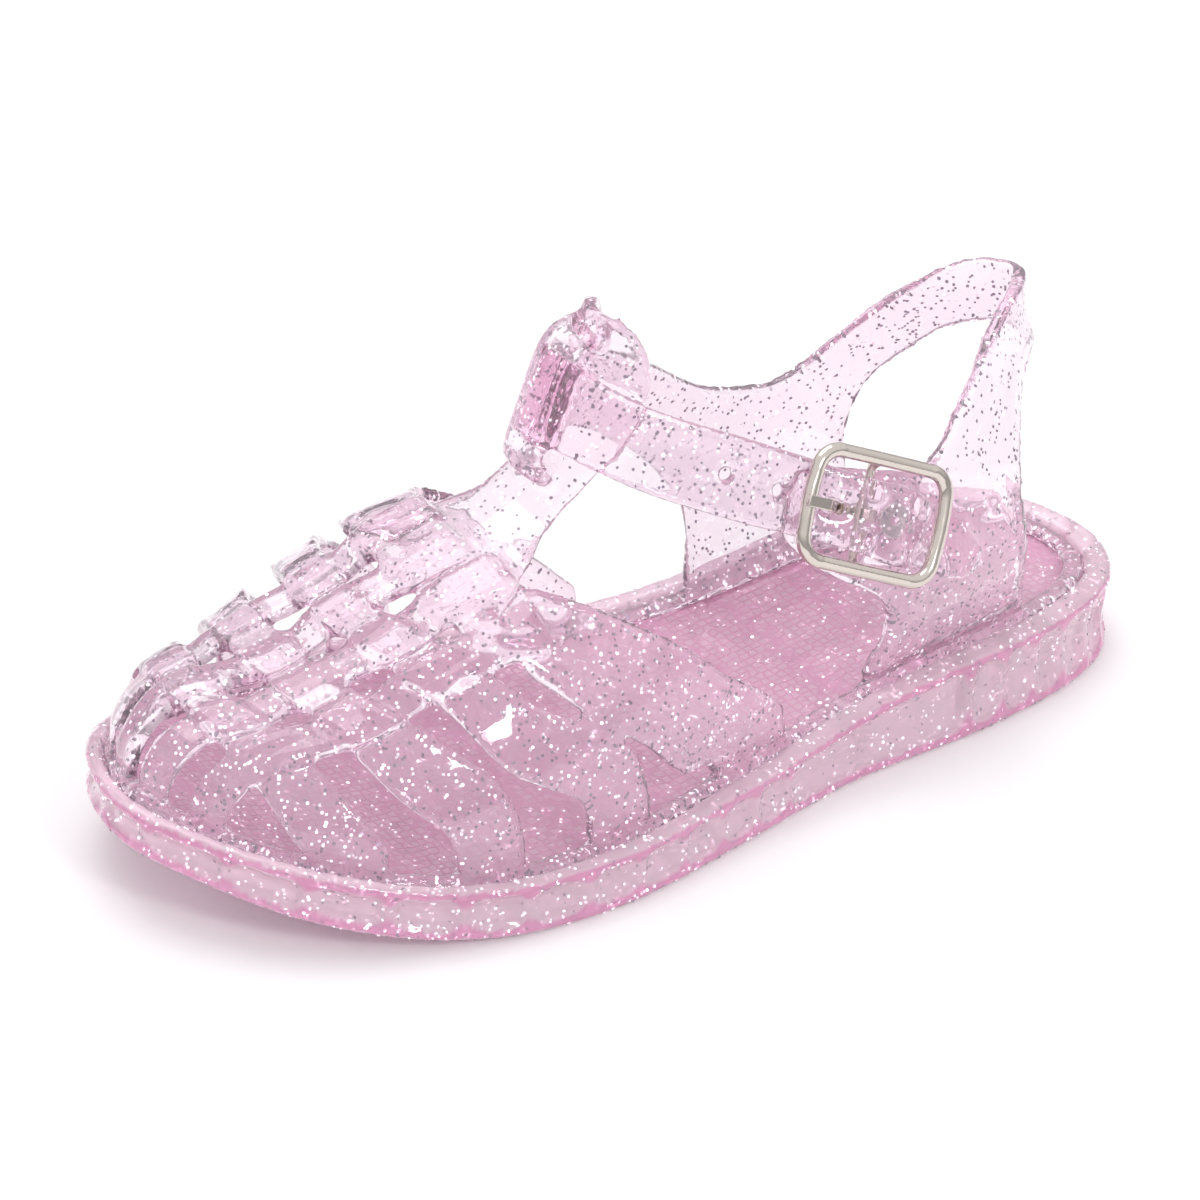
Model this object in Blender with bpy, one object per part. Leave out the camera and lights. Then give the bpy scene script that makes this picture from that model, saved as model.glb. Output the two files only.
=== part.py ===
"""Child's jelly sandal, left foot, as an assembly of its real pieces.

The toe points along +X, the outer side of the foot is +Y and up is +Z, in metres. The origin is
on the floor under the middle of the sole.

sole          moulded tray with a recessed footbed, ribbed edge and chevron ribs underneath
upper         one moulded wall: rim, woven vamp, tongue with its keeper, quarters and ankle strap
buckle_frame  wire rectangle with its centre bar
buckle_prong  flat prong that turns on the centre bar
buckle_rivet  hollow rivet that fixes the folded buckle pad
"""
import math

import bmesh
import bpy
import numpy as np

MM = 0.001

# Driving sizes
LENGTH = 165 * MM            # sole, heel to toe
HALF_WIDTH = 35 * MM         # sole, from the middle line to either edge at the ball
HEEL_HEIGHT = 13 * MM        # floor to the sole's top at the heel
TOE_SPRING = 11 * MM         # lift of the sole's underside at the toe
VAMP_HEIGHT = 45 * MM        # floor to the vamp's ridge at the throat
ANKLE_HEIGHT = 75 * MM       # floor to the level where the ankle's table ends
STRAP_HEIGHT = 58.5 * MM     # floor to the middle of the strap over the instep

# Walls and fits
WALL = 2.0 * MM              # thickness of the upper's straps and quarters
WEAVE_LIFT = 0.55 * MM       # how far a strip rises or dips where it crosses a band
GAP = 0.3 * MM               # clearance between pieces that seat on each other
FIT = 0.4 * MM               # clearance where the strap slides
EDGE_BAND = 4.0 * MM         # width of the sole's solid edge, seen from below
WEB = 2.4 * MM               # thickness of the footbed
FOOTBED_DROP = 2.3 * MM      # footbed below the sole's top edge
RIM_WIDTH = 2.7 * MM         # width of the upper's rim in the sole
FOOT_IN_RIM = 1.2 * MM       # how deep a strap's foot reaches into the rim
FOOT_TURN = 16 * MM          # over this height a band turns to stand square on the rim

# Side of the sole
LIP = 1.3 * MM               # height of the lip at the top and at the bottom
LIP_PROUD = 0.7 * MM         # how far the lips and bars stand out
ROUNDING = 0.5 * MM          # corner of the lips
BAR_WIDTH = 2.2 * MM
BAR_PITCH = 6.6 * MM
BAR_PITCH_GROWTH = 0.55 * MM

# Underside
RIB_WIDTH = 2.8 * MM
RIB_RECESS = 0.3 * MM        # ribs end this far above the floor line
RIB_PITCH = 8.0 * MM
SPINE_WIDTH = 3.2 * MM

# Buckle
WIRE = 2.1 * MM
BUCKLE_LENGTH = 22.0 * MM    # along the strap, between the middles of the wire
BUCKLE_WIDTH = 15.6 * MM     # across the strap, between the middles of the wire
BUCKLE_CORNER = 3.4 * MM
BAR_DIAMETER = 1.3 * MM
PRONG_WIDTH = 1.6 * MM
PRONG_THICKNESS = 0.8 * MM
RIVET_DIAMETER = 5.0 * MM
RIVET_HOLE = 1.4 * MM
RIVET_HEIGHT = 0.6 * MM
RIVET_PLACE = 4.9 * MM         # behind the centre bar
PAD_THICKNESS = 0.6 * MM
LOOP_THICKNESS = 0.6 * MM
LOOP_WIDTH = 2.4 * MM
KEEPER_WIDTH = 8.4 * MM
KEEPER_THICKNESS = 1.8 * MM
KEEPER_ROOM = 1.0 * MM        # clear space between the strap and the keeper
STRAP_HOLE = 2.2 * MM
STRAP_HOLE_PITCH = 8.4 * MM

# Outline of the sole: station along the length, then the outer and the inner edge off the middle
# line, as shares of HALF_WIDTH
OUTLINE = [
    # along, outer, inner
    (0.03, 0.38, 0.42),
    (0.10, 0.58, 0.60),
    (0.22, 0.69, 0.60),
    (0.36, 0.735, 0.605),
    (0.50, 0.88, 0.73),
    (0.64, 1.00, 0.985),
    (0.78, 0.94, 0.99),
    (0.90, 0.69, 0.79),
    (0.97, 0.32, 0.50),
]
HEEL_POINT = 0.03            # where the outline meets the middle line's ends, off it
TOE_POINT = -0.04
POINTS_PER_ROW = 3

# Levels of the sole: thickness as a share of HEEL_HEIGHT, lift as a share of TOE_SPRING, and the
# flat ledge outside the upper as a share of EDGE_BAND
SOLE_LEVELS = [
    # along, thickness, lift, ledge
    (0.00, 0.96, 0.0, 1.00),
    (0.10, 1.00, 0.0, 1.00),
    (0.22, 1.00, 0.0, 0.98),
    (0.45, 0.72, 0.0, 0.88),
    (0.70, 0.64, 0.0, 0.68),
    (0.80, 0.615, 0.145, 0.60),
    (0.90, 0.59, 0.50, 0.58),
    (1.00, 0.50, 1.0, 0.55),
]

# Ridge of the last over the vamp: height as a share of VAMP_HEIGHT, side shift of HALF_WIDTH
RIDGE = [
    # along, height, shift
    (0.44, 1.00, -0.043),
    (0.56, 1.00, -0.071),
    (0.62, 0.99, -0.095),
    (0.70, 0.935, -0.118),
    (0.78, 0.80, -0.137),
    (0.84, 0.70, -0.145),
    (0.90, 0.66, -0.157),
]
TOE_CENTRE = 0.90            # past this station the vamp is swept round its last ridge point
PLAN_POWER = 2.5             # fullness of the vamp's arch, seen in plan and in height
RISE_POWER = 2.3

# The last round the ankle: level as a share of ANKLE_HEIGHT, reaches in front and behind the
# ankle's centre as shares of LENGTH, half widths of HALF_WIDTH, and the fullness of the heel
ANKLE = [
    # level, front, back, outer, inner, heel_power
    (0.160, 0.424, 0.291, 0.586, 0.586, 2.3),
    (0.333, 0.367, 0.282, 0.655, 0.614, 2.3),
    (0.467, 0.328, 0.261, 0.645, 0.614, 2.3),
    (0.600, 0.299, 0.241, 0.560, 0.570, 2.05),
    (0.760, 0.2715, 0.226, 0.470, 0.490, 1.65),
    (1.000, 0.233, 0.221, 0.430, 0.440, 1.6),
]
ANKLE_CENTRE = 0.318         # station of the ankle's centre along the length
INSTEP_POWER = 2.3

# Bands of the vamp, from the outer side over the ridge to the inner side: width in shares of
# HALF_WIDTH. Across is 1 at the outer wall line, 0 at the ridge and -1 at the inner wall line.
BANDS = [
    # name, along, across, width
    ("toe", 0.866, 1.00, 0.29),
    ("toe", 0.888, 0.94, 0.27),
    ("toe", 0.903, 0.70, 0.22),
    ("toe", 0.914, 0.30, 0.17),
    ("toe", 0.915, 0.00, 0.17),
    ("toe", 0.912, -0.30, 0.17),
    ("toe", 0.903, -0.62, 0.20),
    ("toe", 0.890, -0.90, 0.26),
    ("toe", 0.872, -1.00, 0.29),
    ("second", 0.753, 1.00, 0.285),
    ("second", 0.799, 0.87, 0.28),
    ("second", 0.826, 0.64, 0.20),
    ("second", 0.841, 0.30, 0.18),
    ("second", 0.843, 0.00, 0.18),
    ("second", 0.839, -0.30, 0.18),
    ("second", 0.828, -0.60, 0.20),
    ("second", 0.803, -0.87, 0.27),
    ("second", 0.765, -1.00, 0.28),
    ("third", 0.627, 1.00, 0.30),
    ("third", 0.712, 0.89, 0.28),
    ("third", 0.752, 0.63, 0.20),
    ("third", 0.775, 0.30, 0.18),
    ("third", 0.778, 0.00, 0.18),
    ("third", 0.772, -0.30, 0.18),
    ("third", 0.755, -0.60, 0.20),
    ("third", 0.718, -0.87, 0.27),
    ("third", 0.650, -1.00, 0.29),
    ("throat", 0.470, 1.00, 0.39),
    ("throat", 0.545, 0.96, 0.43),
    ("throat", 0.628, 0.81, 0.41),
    ("throat", 0.690, 0.52, 0.32),
    ("throat", 0.705, 0.20, 0.30),
    ("throat", 0.703, -0.10, 0.30),
    ("throat", 0.690, -0.45, 0.32),
    ("throat", 0.650, -0.75, 0.38),
    ("throat", 0.580, -0.94, 0.44),
    ("throat", 0.510, -1.00, 0.40),
]

# Strips of the vamp, from the throat to the toe: side place and width in shares of HALF_WIDTH
STRIPS = [
    # name, along, side, width
    ("outer", 0.665, 0.54, 0.20),
    ("outer", 0.742, 0.485, 0.18),
    ("outer", 0.806, 0.43, 0.18),
    ("outer", 0.865, 0.375, 0.17),
    ("outer", 0.918, 0.325, 0.16),
    ("outer", 0.955, 0.28, 0.16),
    ("middle_outer", 0.665, 0.27, 0.19),
    ("middle_outer", 0.742, 0.235, 0.18),
    ("middle_outer", 0.806, 0.175, 0.17),
    ("middle_outer", 0.875, 0.135, 0.16),
    ("middle_outer", 0.935, 0.075, 0.16),
    ("middle_outer", 0.977, 0.035, 0.16),
    ("middle_inner", 0.665, 0.01, 0.19),
    ("middle_inner", 0.742, -0.025, 0.18),
    ("middle_inner", 0.806, -0.09, 0.17),
    ("middle_inner", 0.875, -0.12, 0.16),
    ("middle_inner", 0.935, -0.16, 0.16),
    ("middle_inner", 0.980, -0.18, 0.16),
    ("inner", 0.665, -0.26, 0.20),
    ("inner", 0.742, -0.30, 0.18),
    ("inner", 0.806, -0.355, 0.17),
    ("inner", 0.868, -0.37, 0.16),
    ("inner", 0.925, -0.38, 0.16),
    ("inner", 0.968, -0.385, 0.16),
]

# Rear of the upper, one wall from the buckle's flap round the heel to the end of the strap.
# Turns are degrees round the ankle, 90 outer, 180 heel, 270 inner, 360 instep. Levels are shares
# of STRAP_HEIGHT, and a low level of 0 stands in the rim.
REAR = [
    # place, low_turn, low_level, high_turn, high_level
    ("flap end", 72.2, 0.725, 73.5, 0.800),
    ("flap corner", 73.0, 0.685, 75.5, 0.835),
    ("flap", 76.5, 0.625, 79.0, 0.835),
    ("flap root", 83.0, 0.545, 85.0, 0.810),
    ("outer front", 88.3, 0.475, 91.0, 0.775),
    ("outer front", 89.8, 0.400, 96.0, 0.755),
    ("outer front", 90.1, 0.310, 100.5, 0.763),
    ("outer base", 89.0, 0.0, 104.0, 0.783),
    ("outer base", 100.0, 0.0, 106.0, 0.795),
    ("outer base", 112.0, 0.0, 108.0, 0.810),
    ("outer base", 123.2, 0.0, 110.5, 0.828),
    ("outer back", 122.2, 0.270, 114.5, 0.855),
    ("outer back", 121.0, 0.420, 119.0, 0.880),
    ("outer back", 121.2, 0.550, 124.0, 0.906),
    ("outer back", 122.5, 0.630, 131.0, 0.950),
    ("outer back", 128.5, 0.715, 138.0, 0.988),
    ("heel band", 140.0, 0.820, 144.0, 1.010),
    ("heel band", 152.0, 0.845, 153.0, 1.020),
    ("heel band", 166.0, 0.845, 166.0, 1.020),
    ("heel band", 180.0, 0.845, 180.0, 1.020),
    ("heel band", 193.0, 0.845, 193.0, 1.020),
    ("heel band", 204.0, 0.830, 204.0, 1.015),
    ("heel band", 215.0, 0.795, 214.0, 0.985),
    ("inner back", 226.0, 0.720, 225.0, 0.925),
    ("inner back", 235.0, 0.655, 234.0, 0.858),
    ("inner back", 242.0, 0.560, 240.5, 0.800),
    ("inner back", 245.5, 0.440, 246.0, 0.757),
    ("inner back", 246.3, 0.250, 250.5, 0.718),
    ("inner base", 247.0, 0.0, 255.0, 0.686),
    ("inner base", 256.0, 0.0, 259.0, 0.669),
    ("inner base", 265.0, 0.0, 263.0, 0.668),
    ("inner base", 274.5, 0.0, 267.0, 0.680),
    ("inner front", 274.0, 0.300, 271.5, 0.704),
    ("inner front", 274.5, 0.400, 276.5, 0.757),
    ("inner front", 277.5, 0.485, 282.5, 0.825),
    ("strap root", 282.5, 0.575, 290.0, 0.895),
    ("strap root", 290.0, 0.665, 298.0, 0.955),
    ("strap", 301.0, 0.755, 309.0, 1.020),
    ("strap", 315.0, 0.830, 322.0, 1.070),
    ("strap", 330.0, 0.885, 336.0, 1.100),
    ("strap", 346.0, 0.915, 349.0, 1.115),
    ("instep", 361.0, 0.925, 362.0, 1.120),
    ("strap", 374.0, 0.920, 374.0, 1.105),
    ("strap", 385.5, 0.900, 386.0, 1.080),
    ("strap", 397.0, 0.865, 397.5, 1.050),
    ("strap", 408.5, 0.823, 410.0, 1.010),
    ("strap", 418.5, 0.780, 421.0, 0.965),
    ("strap", 426.5, 0.737, 429.5, 0.915),
    ("buckle", 434.0, 0.697, 437.0, 0.865),
    ("buckle", 440.5, 0.652, 443.5, 0.810),
    ("buckle", 446.5, 0.603, 449.5, 0.760),
    ("strap end", 451.5, 0.554, 454.5, 0.700),
    ("strap end", 456.5, 0.497, 459.5, 0.640),
    ("strap tip", 460.8, 0.472, 463.0, 0.585),
    ("strap tip", 463.5, 0.485, 465.0, 0.540),
]
BUCKLE_TURN = 84.8           # where the buckle's centre bar crosses the strap
ROW_STEP = 3.4 * MM          # spacing of the wall's rows
BASE_BLEND = 14 * MM         # over this height the ankle's walls run into the sole's wall line

# Throat of the tongue, on the vamp: centre as shares of LENGTH (from the heel) and VAMP_HEIGHT,
# half width as a share of PADDLE_HALF, and how far the sides drop and lie back
PADDLE_HALF = 8.8 * MM
TONGUE_HEIGHT = 73.0 * MM
PADDLE_SIDE = -0.8 * MM
THROAT = [
    # along, height, half_width, drop, back
    (0.705, 0.905, 1.75, 0.42, 0.00),
    (0.670, 0.935, 1.50, 0.33, 0.00),
    (0.643, 0.960, 1.12, 0.20, 0.04),
    (0.622, 0.997, 0.84, 0.11, 0.11),
    (0.603, 1.050, 0.78, 0.07, 0.18),
]
# Paddle of the tongue, inside the strap: level of TONGUE_HEIGHT, half width of PADDLE_HALF
PADDLE = [
    # level, half_width
    (0.690, 0.82),
    (0.735, 0.94),
    (0.800, 1.00),
    (0.865, 0.99),
    (0.920, 0.89),
    (0.960, 0.68),
    (0.978, 0.42),
]
# Keeper over the strap: level of STRAP_HEIGHT, and rise from the paddle's middle (0) to the height
# that clears the strap (1)
KEEPER = [
    # level, rise
    (0.850, 0.05),
    (0.852, 0.50),
    (0.866, 0.86),
    (0.905, 1.00),
    (1.000, 1.02),
    (1.110, 1.00),
    (1.158, 0.86),
    (1.176, 0.50),
    (1.178, 0.05),
]

# Chevrons under the sole: across is 1 at the outer wall of the tray and -1 at the inner wall, and
# shift moves the corner towards the toe, in shares of RIB_PITCH
CHEVRONS = {
    "forefoot": {"first": 0.475, "last": 0.865,
                 "corners": [(1.0, 0.0), (0.5, 1.15), (0.0, 0.4), (-0.5, 1.5), (-1.0, 0.7)]},
    "heel": {"first": 0.055, "last": 0.205,
             "corners": [(1.0, 0.6), (0.45, -0.1), (0.0, 0.9), (-0.45, 0.1), (-1.0, 1.1)]},
}
BREAST = 0.345               # station of the wall at the front of the heel

COLOURS = {
    # name: base colour, metallic, roughness
    "sole_jelly": ((0.83, 0.42, 0.60, 1.0), 0.0, 0.25),
    "upper_jelly": ((0.88, 0.62, 0.74, 1.0), 0.0, 0.2),
    "buckle_metal": ((0.62, 0.58, 0.52, 1.0), 1.0, 0.22),
    "rivet_metal": ((0.70, 0.67, 0.62, 1.0), 1.0, 0.25),
}


# Curves

def smooth(knots, values, at):
    """Monotone cubic through (knots, values): no overshoot between rows of a table."""
    knots, values, at = (np.asarray(a, float) for a in (knots, values, at))
    at = np.clip(at, knots[0], knots[-1])
    step = np.diff(knots)
    slope = np.diff(values) / step
    tangent = np.zeros(len(knots))
    same = slope[:-1] * slope[1:] > 0
    tangent[1:-1] = np.where(same, 2 * slope[:-1] * slope[1:] / np.where(same, slope[:-1] + slope[1:], 1), 0)
    tangent[0], tangent[-1] = slope[0], slope[-1]
    i = np.clip(np.searchsorted(knots, at, side="right") - 1, 0, len(step) - 1)
    t = (at - knots[i]) / step[i]
    return ((1 + 2 * t) * (1 - t) ** 2 * values[i] + t * (1 - t) ** 2 * step[i] * tangent[i]
            + t ** 2 * (3 - 2 * t) * values[i + 1] + t ** 2 * (t - 1) * step[i] * tangent[i + 1])


def column(table, index):
    return [row[index] for row in table]


def spline(points, per, closed=False):
    """Catmull-Rom curve through points, per pieces to a span, as one array."""
    points = np.asarray(points, float)
    if closed:
        padded = np.vstack([points[-1:], points, points[:2]])
    else:
        padded = np.vstack([2 * points[0] - points[1], points, 2 * points[-1] - points[-2]])
    t = np.linspace(0, 1, per, endpoint=False)[:, None]
    spans = []
    for a, b, c, d in zip(padded[:-3], padded[1:-2], padded[2:-1], padded[3:]):
        spans.append(0.5 * (2 * b + (c - a) * t + (2 * a - 5 * b + 4 * c - d) * t ** 2
                            + (3 * b - a - 3 * c + d) * t ** 3))
    if not closed:
        spans.append(points[-1:])
    return np.vstack(spans)


def resample(path, count):
    """The same path with count points at even steps along it."""
    steps = np.linalg.norm(np.diff(path, axis=0), axis=1)
    run = np.concatenate([[0], np.cumsum(steps)])
    at = np.linspace(0, run[-1], count)
    return np.stack([np.interp(at, run, path[:, k]) for k in range(path.shape[1])], axis=1)


# The sole's lines

def station(along):
    """X of a station given as a share of the length from the heel."""
    return (np.asarray(along, float) - 0.5) * LENGTH


def along_of(x):
    return np.asarray(x, float) / LENGTH + 0.5


def floor_line(x):
    return TOE_SPRING * smooth(column(SOLE_LEVELS, 0), column(SOLE_LEVELS, 2), along_of(x))


def sole_top(x):
    thickness = smooth(column(SOLE_LEVELS, 0), column(SOLE_LEVELS, 1), along_of(x))
    return floor_line(x) + HEEL_HEIGHT * thickness


def ledge(x):
    return EDGE_BAND * smooth(column(SOLE_LEVELS, 0), column(SOLE_LEVELS, 3), along_of(x))


def sole_edge():
    """Outline of the sole in plan, from the heel along the outer side to the toe and back."""
    outer = [(station(s), o * HALF_WIDTH) for s, o, i in OUTLINE]
    inner = [(station(s), -i * HALF_WIDTH) for s, o, i in reversed(OUTLINE)]
    corners = [(station(0), HEEL_POINT * HALF_WIDTH)] + outer
    corners += [(station(1), TOE_POINT * HALF_WIDTH)] + inner
    return spline(corners, POINTS_PER_ROW, closed=True)


EDGE = sole_edge()


def inset(distance):
    """The sole's outline moved inwards by a distance, a number or one for each point."""
    ahead = np.roll(EDGE, -1, axis=0) - np.roll(EDGE, 1, axis=0)
    ahead /= np.linalg.norm(ahead, axis=1)[:, None]
    inward = np.stack([ahead[:, 1], -ahead[:, 0]], axis=1)
    return EDGE + inward * np.broadcast_to(distance, len(EDGE))[:, None]


def side_of(line, x, side):
    """Y of a closed outline at x, on the outer side (+1) or the inner side (-1)."""
    half = len(line) // 2
    chain = line[:half + 1] if side > 0 else np.vstack([line[half:], line[:1]])[::-1]
    return np.interp(x, chain[:, 0], chain[:, 1])


WALL_LINE = inset(ledge(EDGE[:, 0]) + GAP + 0.5 * MM)
TRAY_LINE = inset(EDGE_BAND)


# The last over the vamp

def ridge_side(x):
    return HALF_WIDTH * smooth(column(RIDGE, 0), column(RIDGE, 2), along_of(x))


def ridge_height(x):
    return VAMP_HEIGHT * smooth(column(RIDGE, 0), column(RIDGE, 1), along_of(x))


def toe_reach(dx, dy):
    """Distance from the toe's centre to the wall line, in the direction of (dx, dy)."""
    centre = np.array([station(TOE_CENTRE), ridge_side(station(TOE_CENTRE))])
    rays = WALL_LINE - centre
    front = rays[:, 0] > -EDGE_BAND
    turn = np.arctan2(rays[front, 1], rays[front, 0])
    order = np.argsort(turn)
    return np.interp(np.arctan2(dy, dx), turn[order], np.linalg.norm(rays[front], axis=1)[order])


def off_ridge(x, y):
    """0 on the ridge, 1 on the wall line: across the foot, and round the toe's centre past it."""
    x, y = np.broadcast_arrays(np.asarray(x, float), np.asarray(y, float))
    x_toe = station(TOE_CENTRE)
    middle = ridge_side(np.minimum(x, x_toe))
    outer = side_of(WALL_LINE, np.minimum(x, x_toe), 1) - middle
    inner = middle - side_of(WALL_LINE, np.minimum(x, x_toe), -1)
    across = np.abs(y - middle) / np.where(y > middle, outer, inner)
    dx, dy = np.maximum(x - x_toe, 1e-9), y - middle
    round_toe = np.hypot(dx, dy) / toe_reach(dx, dy)
    return np.where(x > x_toe, round_toe, across)


def vamp_field(p):
    """Less than 0 inside the last, 0 on its surface, more outside it."""
    base, top = sole_top(p[..., 0]), ridge_height(p[..., 0])
    rise = np.maximum(p[..., 2] - base, 0) / (top - base)
    return off_ridge(p[..., 0], p[..., 1]) ** PLAN_POWER + rise ** RISE_POWER - 1


def vamp_level(x, y):
    """Height of the last over a point in plan."""
    base, top = sole_top(x), ridge_height(x)
    inside = np.clip(1 - np.clip(off_ridge(x, y), 0, 1) ** PLAN_POWER, 0, 1)
    return base + (top - base) * inside ** (1 / RISE_POWER)


def slope_of(field, p, step=0.05 * MM):
    """Gradient of a field at each point."""
    parts = []
    for axis in range(3):
        shift = np.zeros(3)
        shift[axis] = step
        parts.append((field(p + shift) - field(p - shift)) / (2 * step))
    return np.stack(parts, axis=-1)


def unit(v):
    return v / np.linalg.norm(v, axis=-1, keepdims=True)


# The last round the ankle

def ankle_size(name, level):
    index = {"front": 1, "back": 2, "outer": 3, "inner": 4, "power": 5}[name]
    size = smooth(column(ANKLE, 0), column(ANKLE, index), level / ANKLE_HEIGHT)
    unit_size = {"front": LENGTH, "back": LENGTH, "outer": HALF_WIDTH, "inner": HALF_WIDTH, "power": 1}
    return size * unit_size[name]


def ankle(turn, level):
    """Point of the last at a turn round the ankle, in degrees, and a level over the floor."""
    turn, level = np.broadcast_arrays(np.asarray(turn, float), np.asarray(level, float))
    c, s = np.cos(np.radians(turn)), np.sin(np.radians(turn))
    reach = np.where(c > 0, ankle_size("front", level), ankle_size("back", level))
    half = np.where(s > 0, ankle_size("outer", level), ankle_size("inner", level))
    power = np.where(c > 0, INSTEP_POWER, ankle_size("power", level))
    x = station(ANKLE_CENTRE) + reach * np.sign(c) * np.abs(c) ** (2 / power)
    y = half * np.sign(s) * np.abs(s) ** (2 / power)
    wall = np.where(s > 0, side_of(WALL_LINE, x, 1), side_of(WALL_LINE, x, -1))
    near_base = np.clip((level - sole_top(x)) / BASE_BLEND, 0, 1)
    blend = near_base ** 2 * (3 - 2 * near_base)
    low = (level < sole_top(x) + BASE_BLEND) & (np.abs(s) > 0.5)
    y = np.where(low, wall + (y - wall) * blend, y)
    return np.stack([x, y, level], axis=-1)


def ankle_normal(turn, level, step=0.4):
    """Outward normal of the last round the ankle."""
    along = ankle(turn + step, level) - ankle(turn - step, level)
    up = ankle(turn, level + step * MM) - ankle(turn, level - step * MM)
    return unit(np.cross(along, up))


# Solids

def new_object(name, mesh, collection):
    ob = bpy.data.objects.new(name, mesh)
    collection.objects.link(ob)
    return ob


def mesh_from(name, vertices, faces, largest=4):
    """Closed mesh from points and faces, turned so that its faces point out.

    Faces with more corners than the largest allowed are cut into triangles.
    """
    mesh = bpy.data.meshes.new(name)
    mesh.from_pydata([tuple(v) for v in vertices], [], faces)
    bm = bmesh.new()
    bm.from_mesh(mesh)
    bmesh.ops.recalc_face_normals(bm, faces=bm.faces)
    if bm.calc_volume(signed=True) < 0:
        bmesh.ops.reverse_faces(bm, faces=bm.faces)
    bmesh.ops.triangulate(bm, faces=[f for f in bm.faces if len(f.verts) > largest])
    bm.to_mesh(mesh)
    bm.free()
    return mesh


def wall_from_grid(name, middle, normal, thickness, collection):
    """Wall of even thickness on both sides of a grid of points, rows by columns."""
    rows, cols = middle.shape[:2]
    reach = thickness / 2 if np.isscalar(thickness) else thickness[..., None] / 2
    vertices = np.vstack([(middle + normal * reach).reshape(-1, 3), (middle - normal * reach).reshape(-1, 3)])
    far = rows * cols

    def index(r, c):
        return r * cols + c

    faces = []
    for r in range(rows - 1):
        for c in range(cols - 1):
            a, b, d, e = index(r, c), index(r, c + 1), index(r + 1, c + 1), index(r + 1, c)
            faces.append((a, b, d, e))
            faces.append((far + e, far + d, far + b, far + a))
    border = [index(0, c) for c in range(cols)] + [index(r, cols - 1) for r in range(1, rows)]
    border += [index(rows - 1, c) for c in range(cols - 2, -1, -1)]
    border += [index(r, 0) for r in range(rows - 2, 0, -1)]
    for a, b in zip(border, border[1:] + border[:1]):
        faces.append((b, a, far + a, far + b))
    return new_object(name, mesh_from(name, vertices, faces, largest=3), collection)


def stack_of_rings(name, rings, collection):
    """Closed solid through rings of equal length; the first and last are closed by ladders."""
    count = len(rings[0])
    vertices = np.vstack(rings)
    faces = []
    for r in range(len(rings) - 1):
        for i in range(count):
            j = (i + 1) % count
            a, b = r * count + i, r * count + j
            faces.append((a, b, b + count, a + count))
    half = count // 2
    for start, turned in ((0, False), ((len(rings) - 1) * count, True)):
        for i in range(half):
            a, b = start + i, start + i + 1
            c, d = start + (count - i - 1) % count, start + (count - i) % count
            face = [a, b, c, d] if turned else [d, c, b, a]
            faces.append(tuple(dict.fromkeys(face)))
    return new_object(name, mesh_from(name, vertices, faces), collection)


def upright_bar(name, path, width, bottom, top, collection):
    """Wall with upright sides along a path in plan, between two levels given as functions of x."""
    path = np.asarray(path, float)
    ahead = unit(np.gradient(path, axis=0))
    across = np.stack([-ahead[:, 1], ahead[:, 0]], axis=1) * width / 2
    rows = len(path)
    left, right = path + across, path - across
    vertices = np.vstack([np.column_stack([left, bottom(left[:, 0])]), np.column_stack([right, bottom(right[:, 0])]),
                          np.column_stack([right, top(right[:, 0])]), np.column_stack([left, top(left[:, 0])])])
    faces = []
    for r in range(rows - 1):
        for k in range(4):
            a, b = k * rows + r, ((k + 1) % 4) * rows + r
            faces.append((a, b, b + 1, a + 1))
    faces.append((0, 3 * rows, 2 * rows, rows))
    faces.append((rows - 1, 2 * rows - 1, 3 * rows - 1, 4 * rows - 1))
    return new_object(name, mesh_from(name, vertices, faces), collection)


def combine(ob, collection, operation, name):
    """Boolean of an object with every solid of a collection of helpers."""
    modifier = ob.modifiers.new(name, "BOOLEAN")
    modifier.operation = operation
    modifier.operand_type = "COLLECTION"
    modifier.collection = collection
    modifier.solver = "EXACT"
    for helper in collection.objects:
        helper.hide_render = True
        helper.display_type = "WIRE"


def finish(ob, material, angle=35):
    ob.data.materials.clear()
    ob.data.materials.append(material)
    ob.data.shade_smooth()
    ob.data.set_sharp_from_angle(angle=math.radians(angle))


def make_materials():
    made = {}
    for name, (colour, metallic, roughness) in COLOURS.items():
        material = bpy.data.materials.new(name)
        material.use_nodes = True
        shader = material.node_tree.nodes["Principled BSDF"]
        shader.inputs["Base Color"].default_value = colour
        shader.inputs["Metallic"].default_value = metallic
        shader.inputs["Roughness"].default_value = roughness
        made[name] = material
    return made


# The sole

def sole_ring(distance, level):
    line = inset(distance)
    return np.column_stack([line, level])


def make_sole(parts, helpers, material):
    """Tray, open underneath, with a rebate that takes the upper's rim."""
    x = EDGE[:, 0]
    low, top = floor_line(x), sole_top(x)
    footbed = top - FOOTBED_DROP
    rings = [
        sole_ring(EDGE_BAND + ROUNDING, footbed - WEB),
        sole_ring(EDGE_BAND, low),
        sole_ring(LIP_PROUD, low),
        sole_ring(0, low + LIP_PROUD),
        sole_ring(0, low + LIP),
        sole_ring(LIP_PROUD, low + LIP + GAP),
        sole_ring(LIP_PROUD, top - LIP - GAP),
        sole_ring(0, top - LIP),
        sole_ring(0, top - ROUNDING),
        sole_ring(ROUNDING, top),
        sole_ring(ledge(x), top),
        sole_ring(ledge(x), footbed),
    ]
    sole = stack_of_rings("sole", rings, parts)
    make_side_bars(helpers)
    make_chevrons(helpers)
    combine(sole, helpers, "UNION", "ribs")
    finish(sole, material)
    return sole


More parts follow.
